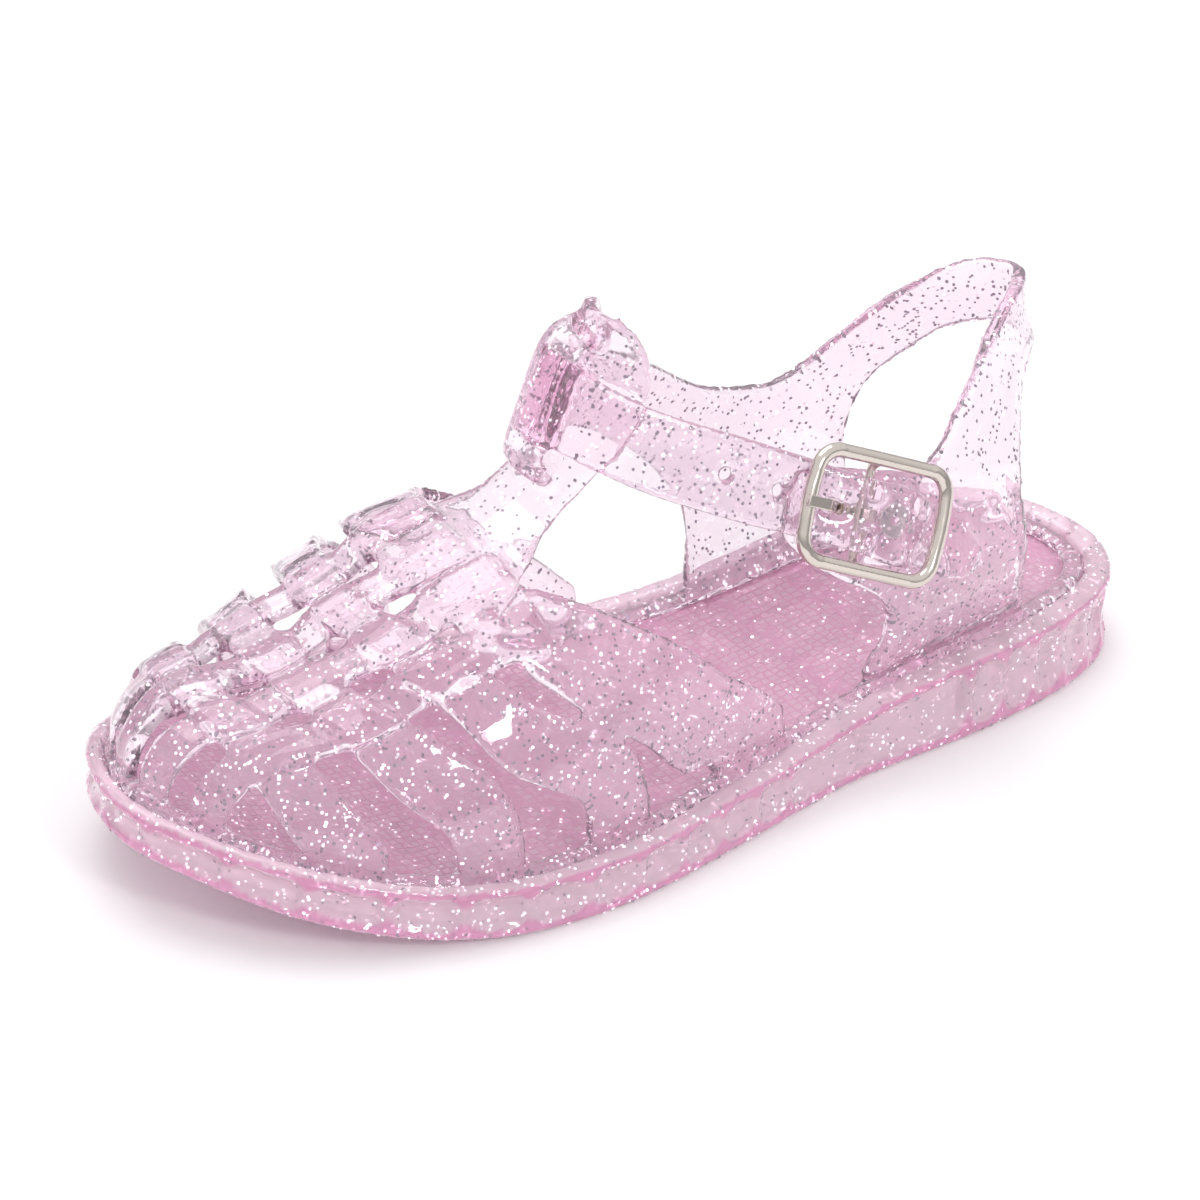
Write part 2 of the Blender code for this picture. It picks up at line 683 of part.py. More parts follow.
def bar_places():
    """Distances along the sole's edge, from the heel round the outer side, where bars stand."""
    run = np.concatenate([[0], np.cumsum(np.linalg.norm(np.diff(np.vstack([EDGE, EDGE[:1]]), axis=0), axis=1))])
    half = len(EDGE) // 2
    waist = {"outer": 0.445, "inner": 0.47, "heel": 0.25}
    places = []
    for side in ("outer", "inner"):
        chain = slice(0, half + 1) if side == "outer" else slice(half, len(EDGE) + 1)
        xs = np.vstack([EDGE, EDGE[:1]])[chain, 0]
        order = np.argsort(xs)
        heel_end = np.interp(station(waist["heel"]), xs[order], run[chain][order])
        start = np.interp(station(waist[side]), xs[order], run[chain][order])
        toe = run[half]
        sign = 1 if side == "outer" else -1
        step, at = BAR_PITCH, start
        while sign * (toe - at) > BAR_PITCH / 2:
            places.append(at)
            at += sign * step
            step += BAR_PITCH_GROWTH
        at, end = (0 if side == "outer" else run[-1]) + sign * BAR_PITCH / 2, heel_end
        while sign * (end - at) > 0:
            places.append(at)
            at += sign * BAR_PITCH
    return run, places


def make_side_bars(helpers):
    """Upright bars that fill the groove between the lips, flush with them."""
    run, places = bar_places()
    loop = np.vstack([EDGE, EDGE[:1]])
    for k, at in enumerate(places):
        ends = []
        for shift in (-BAR_WIDTH / 2, BAR_WIDTH / 2):
            ends.append([np.interp(at + shift, run, loop[:, c]) for c in range(2)])
        ends = np.array(ends)
        ahead = unit(ends[1] - ends[0])
        inward = np.array([ahead[1], -ahead[0]])
        depth = LIP_PROUD + ROUNDING
        middle = ends + inward * (depth / 2 + 0.05 * MM)
        upright_bar(f"side_bar_{k:02d}", middle, depth, lambda x: floor_line(x) + LIP / 2,
                    lambda x: sole_top(x) - LIP / 2, helpers)


def above_floor(share):
    return lambda x: floor_line(x) + share * RIB_RECESS


def under_footbed(share):
    """Level inside the footbed's web, a share of its thickness below the footbed."""
    return lambda x: sole_top(x) - FOOTBED_DROP - share * WEB


def make_chevrons(helpers):
    """Zigzag ribs of the forefoot and the heel, their spines and the breast wall."""
    for place, row in CHEVRONS.items():
        count = int((row["last"] - row["first"]) * LENGTH / RIB_PITCH) + 1
        for k in range(count):
            x0 = station(row["first"]) + k * RIB_PITCH
            corners = []
            for across, shift in row["corners"]:
                x = x0 + shift * RIB_PITCH
                outer, inner = side_of(TRAY_LINE, x, 1), side_of(TRAY_LINE, x, -1)
                middle, reach = (outer + inner) / 2, (outer - inner) / 2 + EDGE_BAND / 3
                corners.append((x, middle + across * reach))
            upright_bar(f"{place}_rib_{k}", corners, RIB_WIDTH, above_floor(1.0), under_footbed(0.5), helpers)
    spans = {"heel_spine": (0.06, BREAST), "forefoot_spine": (0.52, 0.93)}
    for name, (start, end) in spans.items():
        x = station(np.linspace(start, end, 6))
        middle = (side_of(TRAY_LINE, x, 1) + side_of(TRAY_LINE, x, -1)) / 2
        upright_bar(name, np.column_stack([x, middle]), SPINE_WIDTH, above_floor(2.0), under_footbed(0.33), helpers)
    x = station(BREAST)
    ends = [(x, side_of(TRAY_LINE, x, 1) + EDGE_BAND / 4), (x, side_of(TRAY_LINE, x, -1) - EDGE_BAND / 4)]
    upright_bar("breast_wall", ends, RIB_WIDTH, above_floor(1.5), under_footbed(0.25), helpers)


# The upper

def make_rim(parts):
    """Closed ring that sits in the sole's rebate and carries every strap."""
    x = EDGE[:, 0]
    outer = ledge(x) + GAP
    low, top = sole_top(x) - FOOTBED_DROP + GAP, sole_top(x)
    rings = [sole_ring(outer, low), sole_ring(outer, top),
             sole_ring(outer + RIM_WIDTH, top), sole_ring(outer + RIM_WIDTH, low)]
    count = len(EDGE)
    vertices = np.vstack(rings)
    faces = []
    for r in range(4):
        for i in range(count):
            j, s = (i + 1) % count, (r + 1) % 4
            faces.append((r * count + i, r * count + j, s * count + j, s * count + i))
    return new_object("upper", mesh_from("upper", vertices, faces), parts)


def vamp_point(along, across):
    """Plan point at a station and a share of the way from the ridge to the wall line."""
    x = station(along)
    middle = ridge_side(np.minimum(x, station(TOE_CENTRE)))
    edge = side_of(WALL_LINE, x, 1 if across > 0 else -1)
    return x, middle + abs(across) * (edge - middle)


def on_last(p, passes=6):
    """Points moved along the last's slope until they lie on it."""
    for _ in range(passes):
        slope = slope_of(vamp_field, p)
        p = p - slope * (vamp_field(p) / np.maximum((slope ** 2).sum(-1), 1e-6))[..., None]
    return p


def base_direction(point):
    """Direction of the wall line next to a point, level."""
    k = np.argmin(np.linalg.norm(WALL_LINE - point[:2], axis=1))
    ahead = WALL_LINE[(k + 1) % len(WALL_LINE)] - WALL_LINE[k - 1]
    return unit(np.array([ahead[0], ahead[1], 0]))


def ribbon(name, plan, widths, rows, cols, lift, feet, collection):
    """Strap that lies on the last over a path in plan, raised by lift(x, y) along the way.

    feet says at which ends, 0 or -1, the strap stands in the rim.
    """
    dense = spline(np.column_stack([plan, widths]), 24)
    level = vamp_level(dense[:, 0], dense[:, 1])
    path = resample(np.column_stack([dense[:, :2], level, dense[:, 2]]), rows)
    centre, width = path[:, :3], path[:, 3]
    normal = unit(slope_of(vamp_field, centre + [0, 0, 0.2 * MM]))
    side = unit(np.cross(normal, unit(np.gradient(centre, axis=0))))
    for end in feet:
        low = np.clip(1 - (centre[:, 2] - sole_top(centre[:, 0])) / FOOT_TURN, 0, 1)
        low = (low ** 2 * (3 - 2 * low)) * (np.arange(rows) < rows / 2 if end == 0 else np.arange(rows) >= rows / 2)
        line = base_direction(centre[end])
        line = line * np.sign(line @ side[end])
        side = unit(side * (1 - low)[:, None] + line * low[:, None])
    turned = np.linalg.norm(np.cross(side, unit(np.gradient(centre, axis=0))), axis=1)
    width = width / np.clip(turned, 0.6, 1)
    share = np.linspace(-0.5, 0.5, cols)
    grid = on_last(centre[:, None] + side[:, None] * (width[:, None] * share)[..., None])
    normals = unit(slope_of(vamp_field, grid + [0, 0, 0.2 * MM]))
    height = grid[..., 2] - sole_top(grid[..., 0])
    raised = lift(grid[..., 0], grid[..., 1]) * np.clip(height / FOOT_TURN, 0, 1)
    middle = grid + normals * (raised - WALL / 2)[..., None]
    for end in feet:
        middle[end][:, 2] = sole_top(grid[end][:, 0]) + 0.2 * MM
        foot, flat = middle[end].copy(), normals[end].copy()
        foot[:, 2] -= FOOT_IN_RIM
        flat[:, 2] = 0
        normals[end] = unit(flat)
        if end == 0:
            middle, normals = np.vstack([foot[None], middle]), np.vstack([normals[:1], normals])
        else:
            middle, normals = np.vstack([middle, foot[None]]), np.vstack([normals, normals[-1:]])
    return wall_from_grid(name, middle, normals, WALL, collection)


def rows_named(table, name):
    return [row[1:] for row in table if row[0] == name]


def names_in(table):
    return list(dict.fromkeys(column(table, 0)))


def strip_centre(name, x):
    rows = rows_named(STRIPS, name)
    return HALF_WIDTH * np.interp(x, station(column(rows, 0)), column(rows, 1))


def band_centre(name, y):
    rows = rows_named(BANDS, name)
    plan = np.array([vamp_point(a, c) for a, c, w in rows])
    return np.interp(y, plan[::-1, 1], plan[::-1, 0])


def weave(own, others, centre_of, own_is_strip):
    """Height of a strip or band off the last: over one neighbour, under the next."""
    def lift(x, y):
        total, weight = np.zeros_like(x), np.zeros_like(x) + 1e-9
        for k, other in enumerate(others):
            away = (x - centre_of(other, y)) if own_is_strip else (y - centre_of(other, x))
            near = np.exp(-(away / (4.2 * MM)) ** 2)
            over = 1 if (own + k) % 2 == (0 if own_is_strip else 1) else -1
            total += over * near
            weight += near
        return WEAVE_LIFT * total / np.maximum(weight, 0.6)
    return lift


def make_vamp(helpers):
    """Four bands across the vamp and four strips along it, woven into one wall."""
    bands, strips = names_in(BANDS), names_in(STRIPS)
    for k, name in enumerate(bands):
        rows = rows_named(BANDS, name)
        plan = [vamp_point(a, c) for a, c, w in rows]
        widths = [w * HALF_WIDTH for a, c, w in rows]
        ribbon(f"band_{name}", plan, widths, 25, 4, weave(k, strips, strip_centre, False), (0, -1), helpers)
    for k, name in enumerate(strips):
        rows = rows_named(STRIPS, name)
        plan = [(station(a), s * HALF_WIDTH) for a, s, w in rows]
        plan[-1] = toe_foot(plan[-2], plan[-1])
        widths = [w * HALF_WIDTH for a, s, w in rows]
        ribbon(f"strip_{name}", plan, widths, 16, 3, weave(k, bands, band_centre, True), (-1,), helpers)


def toe_foot(before, last):
    """Point where the line through the last two plan points meets the wall line."""
    centre = np.array([station(TOE_CENTRE), ridge_side(station(TOE_CENTRE))])
    ray = np.array(last) - centre
    return tuple(centre + unit(ray) * toe_reach(*ray))


def instep_front(y, level):
    """X of the last's front over the instep at a side place and a level."""
    half = np.where(y > 0, ankle_size("outer", level), ankle_size("inner", level))
    share = np.clip(np.abs(y) / half, 0, 0.98)
    reach = ankle_size("front", level) * (1 - share ** INSTEP_POWER) ** (1 / INSTEP_POWER)
    return station(ANKLE_CENTRE) + reach


def inside_instep(y, level, depth):
    """X of a surface that lies a depth inside the last over the instep."""
    step = 0.2 * MM
    across = (instep_front(y + step, level) - instep_front(y - step, level)) / (2 * step)
    up = (instep_front(y, level + step) - instep_front(y, level - step)) / (2 * step)
    return instep_front(y, level) - depth * np.sqrt(1 + across ** 2 + up ** 2)


def make_tongue(helpers):
    """Sheet that flares from the throat and ends in a round paddle behind the strap."""
    share = np.linspace(-1, 1, 7)
    inside = 1.5 * WALL + FIT
    grid = []
    for along, height, half, drop, back in THROAT:
        half = half * PADDLE_HALF
        y = PADDLE_SIDE + share * half
        x = station(along) - back * PADDLE_HALF * share ** 2
        grid.append(np.stack([x, y, VAMP_HEIGHT * height - drop * PADDLE_HALF * share ** 2], axis=-1))
    for level, half in PADDLE:
        y = PADDLE_SIDE + share * half * PADDLE_HALF
        z = np.full_like(y, level * TONGUE_HEIGHT)
        grid.append(np.stack([inside_instep(y, z, inside), y, z], axis=-1))
    grid = np.array(grid)
    along, across = np.gradient(grid, axis=0), np.gradient(grid, axis=1)
    normal = unit(np.cross(across, along))
    outward = grid - np.array([station(ANKLE_CENTRE), 0, 0])
    normal = normal * np.sign((normal * outward).sum(-1).mean())
    wall_from_grid("tongue", grid, normal, WALL, helpers)


def make_keeper(helpers):
    """Bridge on the tongue's outer face, which holds the strap."""
    inside = 1.5 * WALL + FIT
    rise = inside + KEEPER_ROOM + KEEPER_THICKNESS / 2
    share = np.linspace(-0.5, 0.5, 3)
    y = PADDLE_SIDE + share * KEEPER_WIDTH
    grid = []
    for level, height in KEEPER:
        z = np.full_like(y, level * STRAP_HEIGHT)
        grid.append(np.stack([inside_instep(y, z, inside - height * rise), y, z], axis=-1))
    grid = spline(np.array(grid).reshape(len(grid), -1), 2).reshape(-1, 3, 3)
    along, across = np.gradient(grid, axis=0), np.gradient(grid, axis=1)
    normal = unit(np.cross(along, across))
    if normal[len(normal) // 2, 1, 0] < 0:
        normal = -normal
    wall_from_grid("keeper", grid, normal, KEEPER_THICKNESS, helpers)


def rear_rows(per):
    """Rear table as curves: low turn, low level, high turn and high level, in metres."""
    table = np.array([row[1:] for row in REAR], float)
    table[:, 1] *= STRAP_HEIGHT
    table[:, 3] *= STRAP_HEIGHT
    base = table[:, 1] == 0
    for k in np.nonzero(base)[0]:
        x = ankle(table[k, 0], HEEL_HEIGHT)[0]
        table[k, 1] = sole_top(x) - FOOT_IN_RIM
    return spline(table, per) if per else table


def rear_grid(rows):
    """Four even places on each row."""
    share = np.linspace(0, 1, 4)
    turn = rows[:, 0:1] + (rows[:, 2:3] - rows[:, 0:1]) * share
    level = rows[:, 1:2] + (rows[:, 3:4] - rows[:, 1:2]) * share
    return turn, level


def buckle_frame_axes():
    """Place and axes of the buckle: centre, along the strap to its end, across it up, outward."""
    rows = rear_rows(8)
    middle = (rows[:, 0] + rows[:, 2]) / 2
    k = np.argmin(np.abs(middle - (BUCKLE_TURN + 360)))
    surface = ankle((rows[k, 0] + rows[k, 2]) / 2, (rows[k, 1] + rows[k, 3]) / 2)
    low, high = ankle(rows[k, 0], rows[k, 1]), ankle(rows[k, 2], rows[k, 3])
    out = ankle_normal((rows[k, 0] + rows[k, 2]) / 2, (rows[k, 1] + rows[k, 3]) / 2)
    after = (ankle(rows[k + 4, 0], rows[k + 4, 1]) + ankle(rows[k + 4, 2], rows[k + 4, 3])) / 2
    before = (ankle(rows[k - 4, 0], rows[k - 4, 1]) + ankle(rows[k - 4, 2], rows[k - 4, 3])) / 2
    along = after - before
    along = unit(along - out * (along @ out))
    up = np.cross(out, along)
    if up @ (high - low) < 0:
        up = -up
    return surface - out * WALL / 2, along, up, out


# Heights over the flap's middle, in the buckle's plane
BAR_LEVEL = WALL / 2 + GAP + BAR_DIAMETER / 2
LOOP_LEVEL = BAR_LEVEL + BAR_DIAMETER / 2 + GAP + LOOP_THICKNESS / 2
STRAP_OVER_BAR = BAR_LEVEL + BAR_DIAMETER / 2 + PRONG_THICKNESS + 2 * GAP + WALL / 2
STRAP_ON_FLAP = WALL + FIT
STRAP_AT_FRAME = STRAP_ON_FLAP - 0.3 * MM
FRAME_LEVEL = STRAP_AT_FRAME + WALL / 2 + WIRE / 2 + 1.1 * MM


def strap_rise(place, sag):
    """How far the strap stands off the flap's line, by its distance along the buckle.

    Inside the buckle the heights count from the buckle's plane, so the sag of the last is added.
    """
    half = BUCKLE_LENGTH / 2
    knots = np.array([-46, -19, -11, -9.6, -2.0, 2.0, 6.4, 9.9, 11.2, 19]) * MM
    values = [0, STRAP_ON_FLAP, STRAP_AT_FRAME, STRAP_AT_FRAME + 0.5 * MM, STRAP_OVER_BAR, STRAP_OVER_BAR,
              STRAP_OVER_BAR - 0.7 * MM, STRAP_AT_FRAME + 0.5 * MM, STRAP_AT_FRAME, STRAP_ON_FLAP]
    inside = np.clip((half + 8 * MM - np.abs(place)) / (7 * MM), 0, 1)
    return smooth(knots, values, place) + inside * sag


def spaced(table, least):
    """Rows of the table's curve: those of the table, and one between two that lie far apart."""
    fine = spline(table, 4)
    low, high = ankle(fine[:, 0], fine[:, 1]), ankle(fine[:, 2], fine[:, 3])
    moved = np.maximum(np.linalg.norm(low[4::4] - low[:-4:4], axis=1),
                       np.linalg.norm(high[4::4] - high[:-4:4], axis=1))
    kept = []
    for k, way in enumerate(moved):
        kept += [4 * k] if way < 1.5 * least else [4 * k, 4 * k + 2]
        if way > 3 * least:
            kept[-1:] = [4 * k + 1, 4 * k + 2, 4 * k + 3]
    return fine[kept + [len(fine) - 1]]


def make_rear(helpers):
    """Flap, outer quarter, heel band, inner quarter and ankle strap, as one wall."""
    turn, level = rear_grid(spaced(rear_rows(0), ROW_STEP))
    points, normals = ankle(turn, level), ankle_normal(turn, level)
    centre, along, up, out = buckle_frame_axes()
    surface = centre + out * WALL / 2
    place = (points - surface) @ along
    sag = np.clip((surface - points) @ out, 0, 3 * MM)
    facing = np.maximum((normals * out).sum(-1), 0.5)
    rise = strap_rise(place, sag) / np.where(turn > 425, facing, 1)
    rise = np.where(turn > 425, np.maximum(rise, WALL + GAP), rise)
    rise = np.where(turn > 372, rise, 0)
    wall_from_grid("rear", points + normals * (rise - WALL / 2)[..., None], normals, WALL, helpers)


def frame_point(axes, along, up, out):
    centre, a, u, o = axes
    return centre + a * along + u * up + o * out


def block(name, axes, along, up, out, size, collection):
    """Box in the buckle's axes, sizes along, up and out."""
    vertices = []
    for s in (-0.5, 0.5):
        for t in (-0.5, 0.5):
            for w in (-0.5, 0.5):
                vertices.append(frame_point(axes, along + s * size[0], up + t * size[1], out + w * size[2]))
    faces = [(0, 1, 3, 2), (4, 6, 7, 5), (0, 4, 5, 1), (2, 3, 7, 6), (0, 2, 6, 4), (1, 5, 7, 3)]
    return new_object(name, mesh_from(name, vertices, faces), collection)


def make_buckle_pad(helpers):
    """Folded layer on the flap with two loops that hold the centre bar."""
    axes = buckle_frame_axes()
    block("buckle_pad", axes, RIVET_PLACE + 0.3 * MM, 0, WALL / 2 + PAD_THICKNESS / 2 - 0.4 * MM,
          (6.6 * MM, 10.0 * MM, PAD_THICKNESS + 0.8 * MM), helpers)
    radius = LOOP_LEVEL - BAR_LEVEL
    for k, up in enumerate((-3.4 * MM, 3.4 * MM)):
        angles = np.radians(np.linspace(-20, 200, 12))
        share = np.linspace(-0.5, 0.5, 2) * LOOP_WIDTH
        grid, normals = [], []
        for angle in angles:
            out = BAR_LEVEL + radius * math.sin(angle)
            along = -radius * math.cos(angle)
            grid.append([frame_point(axes, along, up + s, out) for s in share])
            normals.append([axes[3] * math.sin(angle) - axes[1] * math.cos(angle) for s in share])
        for end, side in ((0, -1), (-1, 1)):
            foot = [frame_point(axes, side * (radius + 0.1 * MM), up + s, 0.2 * MM) for s in share]
            direction = [axes[1] * side for s in share]
            if end == 0:
                grid.insert(0, foot)
                normals.insert(0, direction)
            else:
                grid.append(foot)
                normals.append(direction)
        wall_from_grid(f"bar_loop_{k}", np.array(grid), np.array(normals), LOOP_THICKNESS, helpers)


def rod(name, axes, at, direction, length, diameter, collection, segments=16):
    """Cylinder with its middle at a place in the buckle's axes."""
    centre = frame_point(axes, *at)
    ahead = unit(np.array(direction))
    side = unit(np.cross(ahead, axes[1] if abs(ahead @ axes[1]) < 0.9 else axes[2]))
    third = np.cross(ahead, side)
    angles = np.linspace(0, 2 * math.pi, segments, endpoint=False)
    ring = np.cos(angles)[:, None] * side + np.sin(angles)[:, None] * third
    vertices = np.vstack([centre + ring * diameter / 2 + ahead * length / 2,
                          centre + ring * diameter / 2 - ahead * length / 2])
    faces = [tuple(range(segments)), tuple(range(2 * segments - 1, segments - 1, -1))]
    for i in range(segments):
        j = (i + 1) % segments
        faces.append((j, i, segments + i, segments + j))
    return new_object(name, mesh_from(name, vertices, faces), collection)


def make_strap_holes(helpers):
    """Slot for the prong and the free holes of the strap, cut along the strap's normal."""
    axes = buckle_frame_axes()
    block("prong_slot", axes, -6.4 * MM, 0, 4.8 * MM, (3.6 * MM, STRAP_HOLE, 6.0 * MM), helpers)
    block("flap_slot", axes, -0.7 * MM, 0, 0, (6.0 * MM, STRAP_HOLE, 3.0 * WALL / 2), helpers)
    rows = rear_rows(8)
    turn = (rows[:, 0] + rows[:, 2]) / 2
    level = (rows[:, 1] + rows[:, 3]) / 2
    line = ankle(turn, level)
    run = np.concatenate([[0], np.cumsum(np.linalg.norm(np.diff(line, axis=0), axis=1))])
    slot = run[np.argmin(np.abs(turn - (BUCKLE_TURN + 360)))] - 6.3 * MM
    for k in (1, 2):
        at = slot - k * STRAP_HOLE_PITCH
        t, z = np.interp(at, run, turn), np.interp(at, run, level)
        point, out = ankle(t, z), ankle_normal(t, z)
        hole_axes = (point, axes[1], axes[2], out)
        rod(f"strap_hole_{k}", hole_axes, (0, 0, STRAP_ON_FLAP / 2), out, 4 * WALL, STRAP_HOLE, helpers, 12)


def make_upper(parts, added, cut, material):
    upper = make_rim(parts)
    make_vamp(added)
    make_tongue(added)
    make_keeper(added)
    make_rear(added)
    make_buckle_pad(added)
    make_strap_holes(cut)
    combine(upper, added, "UNION", "straps")
    combine(upper, cut, "DIFFERENCE", "holes")
    finish(upper, material)
    return upper


# The buckle

def tube_curve(name, points, radius, closed, collection):
    """Round wire along points, made a mesh with welded ends."""
    curve = bpy.data.curves.new(name, "CURVE")
    curve.dimensions = "3D"
    curve.bevel_depth = radius
    curve.bevel_resolution = 2
    curve.use_fill_caps = not closed
    line = curve.splines.new("POLY")
    line.points.add(len(points) - 1)
    for point, place in zip(line.points, points):
        point.co = (*place, 1.0)
    line.use_cyclic_u = closed
    guide = bpy.data.objects.new(name + "_wire", curve)
    bpy.context.scene.collection.objects.link(guide)
    bpy.context.view_layer.update()
    mesh = bpy.data.meshes.new_from_object(guide.evaluated_get(bpy.context.evaluated_depsgraph_get()))
    bm = bmesh.new()
    bm.from_mesh(mesh)
    bmesh.ops.remove_doubles(bm, verts=bm.verts, dist=0.01 * MM)
    bmesh.ops.recalc_face_normals(bm, faces=bm.faces)
    bm.to_mesh(mesh)
    bm.free()
    mesh.name = name
    bpy.data.objects.remove(guide)
    return new_object(name, mesh, collection)


def make_buckle_frame(parts, helpers, material):
    axes = buckle_frame_axes()
    a, u, r = BUCKLE_LENGTH / 2, BUCKLE_WIDTH / 2, BUCKLE_CORNER
    points = []
    for sa, su, start in ((1, 1, 0), (-1, 1, 90), (-1, -1, 180), (1, -1, 270)):
        for angle in np.radians(start + np.linspace(0, 90, 5)):
            along = sa * (a - r) + r * math.cos(angle)
            up = su * (u - r) + r * math.sin(angle)
            points.append(frame_point(axes, along, up, FRAME_LEVEL))
    frame = tube_curve("buckle_frame", points, WIRE / 2, True, parts)
    side = u - 0.1 * MM
    bend = 2.2 * MM
    bar = [frame_point(axes, 0, s * b, o) for s, b, o in (
        (-1, side, FRAME_LEVEL - 0.2 * MM), (-1, side - 0.2 * MM, (FRAME_LEVEL + BAR_LEVEL) / 2),
        (-1, side - bend / 2, BAR_LEVEL), (1, side - bend / 2, BAR_LEVEL),
        (1, side - 0.2 * MM, (FRAME_LEVEL + BAR_LEVEL) / 2), (1, side, FRAME_LEVEL - 0.2 * MM))]
    tube_curve("centre_bar", bar, BAR_DIAMETER / 2, False, helpers)
    combine(frame, helpers, "UNION", "bar")
    finish(frame, material, 50)
    return frame


def make_buckle_prong(parts, material):
    """Flat strip, curled round the centre bar, through the strap's slot and over the frame."""
    axes = buckle_frame_axes()
    radius = BAR_DIAMETER / 2 + GAP + PRONG_THICKNESS / 2
    tip_level = FRAME_LEVEL + WIRE / 2 + GAP + PRONG_THICKNESS / 2
    half = BUCKLE_LENGTH / 2
    path = []
    for angle in np.radians(np.linspace(130, -140, 10)):
        path.append((radius * math.cos(angle), BAR_LEVEL + radius * math.sin(angle)))
    path += [(-3.0 * MM, BAR_LEVEL - 0.5 * MM), (-4.8 * MM, BAR_LEVEL),
             (-6.2 * MM, BAR_LEVEL + 1.4 * MM), (-7.6 * MM, tip_level - 0.9 * MM),
             (-9.0 * MM, tip_level), (-half - 1.6 * MM, tip_level)]
    path = np.array(path)
    ahead = unit(np.gradient(path, axis=0))
    share = np.linspace(-0.5, 0.5, 2) * PRONG_WIDTH
    grid = np.array([[frame_point(axes, p[0], s, p[1]) for s in share] for p in path])
    normals = np.array([[axes[1] * -t[1] + axes[3] * t[0] for s in share] for t in ahead])
    prong = wall_from_grid("buckle_prong", grid, normals, PRONG_THICKNESS, parts)
    finish(prong, material, 30)
    return prong


def make_buckle_rivet(parts, helpers, material):
    """Round head with a hole, on the pad behind the centre bar."""
    axes = buckle_frame_axes()
    seat = WALL / 2 + PAD_THICKNESS + GAP
    at = RIVET_PLACE
    rivet = rod("buckle_rivet", axes, (at, 0, seat + RIVET_HEIGHT / 2), axes[3], RIVET_HEIGHT,
                RIVET_DIAMETER, parts, 24)
    rod("rivet_hole", axes, (at, 0, seat + RIVET_HEIGHT / 2), axes[3], 3 * RIVET_HEIGHT, RIVET_HOLE, helpers, 12)
    combine(rivet, helpers, "DIFFERENCE", "hole")
    finish(rivet, material)
    return rivet


def main():
    for ob in list(bpy.data.objects):
        bpy.data.objects.remove(ob)
    scene = bpy.context.scene.collection
    groups = {}
    for name in ("jelly_sandal", "sole_ribs", "upper_straps", "upper_holes", "buckle_bar", "rivet_holes"):
        groups[name] = bpy.data.collections.new(name)
        scene.children.link(groups[name])
    parts = groups["jelly_sandal"]
    materials = make_materials()
    make_sole(parts, groups["sole_ribs"], materials["sole_jelly"])
    make_upper(parts, groups["upper_straps"], groups["upper_holes"], materials["upper_jelly"])
    make_buckle_frame(parts, groups["buckle_bar"], materials["buckle_metal"])
    make_buckle_prong(parts, materials["buckle_metal"])
    make_buckle_rivet(parts, groups["rivet_holes"], materials["rivet_metal"])


main()
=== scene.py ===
# %% [markdown]
# # A clear pink jelly sandal
#
# The real sandal is injected in one shot: soft clear PVC with a little pink in it, and round
# glitter flakes that float in the plastic. Where the wall is thin it looks almost colourless, and
# where light runs a long way through it, along an edge or down a rib, it turns pink. So the whole
# look rests on three things: true thickness, a tint that grows with depth, and flakes inside.
#
# The frame gives the true solids. This lesson gives them moulded edges, fine texture and finish.

# %% The frame and the tools
import math

import bmesh
import bpy
import numpy as np
from mathutils import Matrix


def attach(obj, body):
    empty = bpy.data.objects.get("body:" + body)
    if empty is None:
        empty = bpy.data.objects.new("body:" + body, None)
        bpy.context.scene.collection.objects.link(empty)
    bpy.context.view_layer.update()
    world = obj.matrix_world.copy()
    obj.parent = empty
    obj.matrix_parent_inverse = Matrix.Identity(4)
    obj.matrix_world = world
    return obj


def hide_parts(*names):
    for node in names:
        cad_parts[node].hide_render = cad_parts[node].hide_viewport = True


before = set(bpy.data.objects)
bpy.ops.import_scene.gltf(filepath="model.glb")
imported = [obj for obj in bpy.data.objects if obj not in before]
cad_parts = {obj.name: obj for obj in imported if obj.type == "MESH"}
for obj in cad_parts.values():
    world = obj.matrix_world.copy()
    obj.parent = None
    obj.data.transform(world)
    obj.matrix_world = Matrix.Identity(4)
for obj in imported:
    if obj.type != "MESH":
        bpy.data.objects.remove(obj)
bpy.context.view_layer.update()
MM = 0.001

# %% [markdown]
# ## Camera
#
# The photo was taken from well away with a long lens, from the outer side of the toe and about 28
# degrees above the table. The camera stands on a ray through the shoe: its back axis is worked out
# from azimuth and elevation, and a small roll turns the picture about that axis. It stands where
# the photo's camera stood, and is only turned and zoomed so that the shoe fills the frame.

# %% Camera from its angles
AZIMUTH, ELEVATION, ROLL = 145.434, 28.490, 1.796    # degrees
DISTANCE = 900 * MM
SENSOR, LENS = 36.0, 190.0                           # a longer lens than the photo's
SLIDE_RIGHT, SLIDE_UP = -15.831 * MM, 51.917 * MM    # where the camera stood, off the ray
AIM_RIGHT, AIM_UP = -2.8 * MM, 20.8 * MM             # the middle of the shoe, seen from there


def camera_axes(azimuth, elevation, roll):
    """Right, up and back axes: back is the sphere's ray, and the roll mixes right with up."""
    a, e, r = np.radians([azimuth, elevation, roll])
    back = np.array([np.sin(a) * np.cos(e), -np.cos(a) * np.cos(e), np.sin(e)])
    level = np.array([np.cos(a), np.sin(a), 0])
    above = np.cross(back, level)
    return np.cos(r) * level + np.sin(r) * above, -np.sin(r) * level + np.cos(r) * above, back


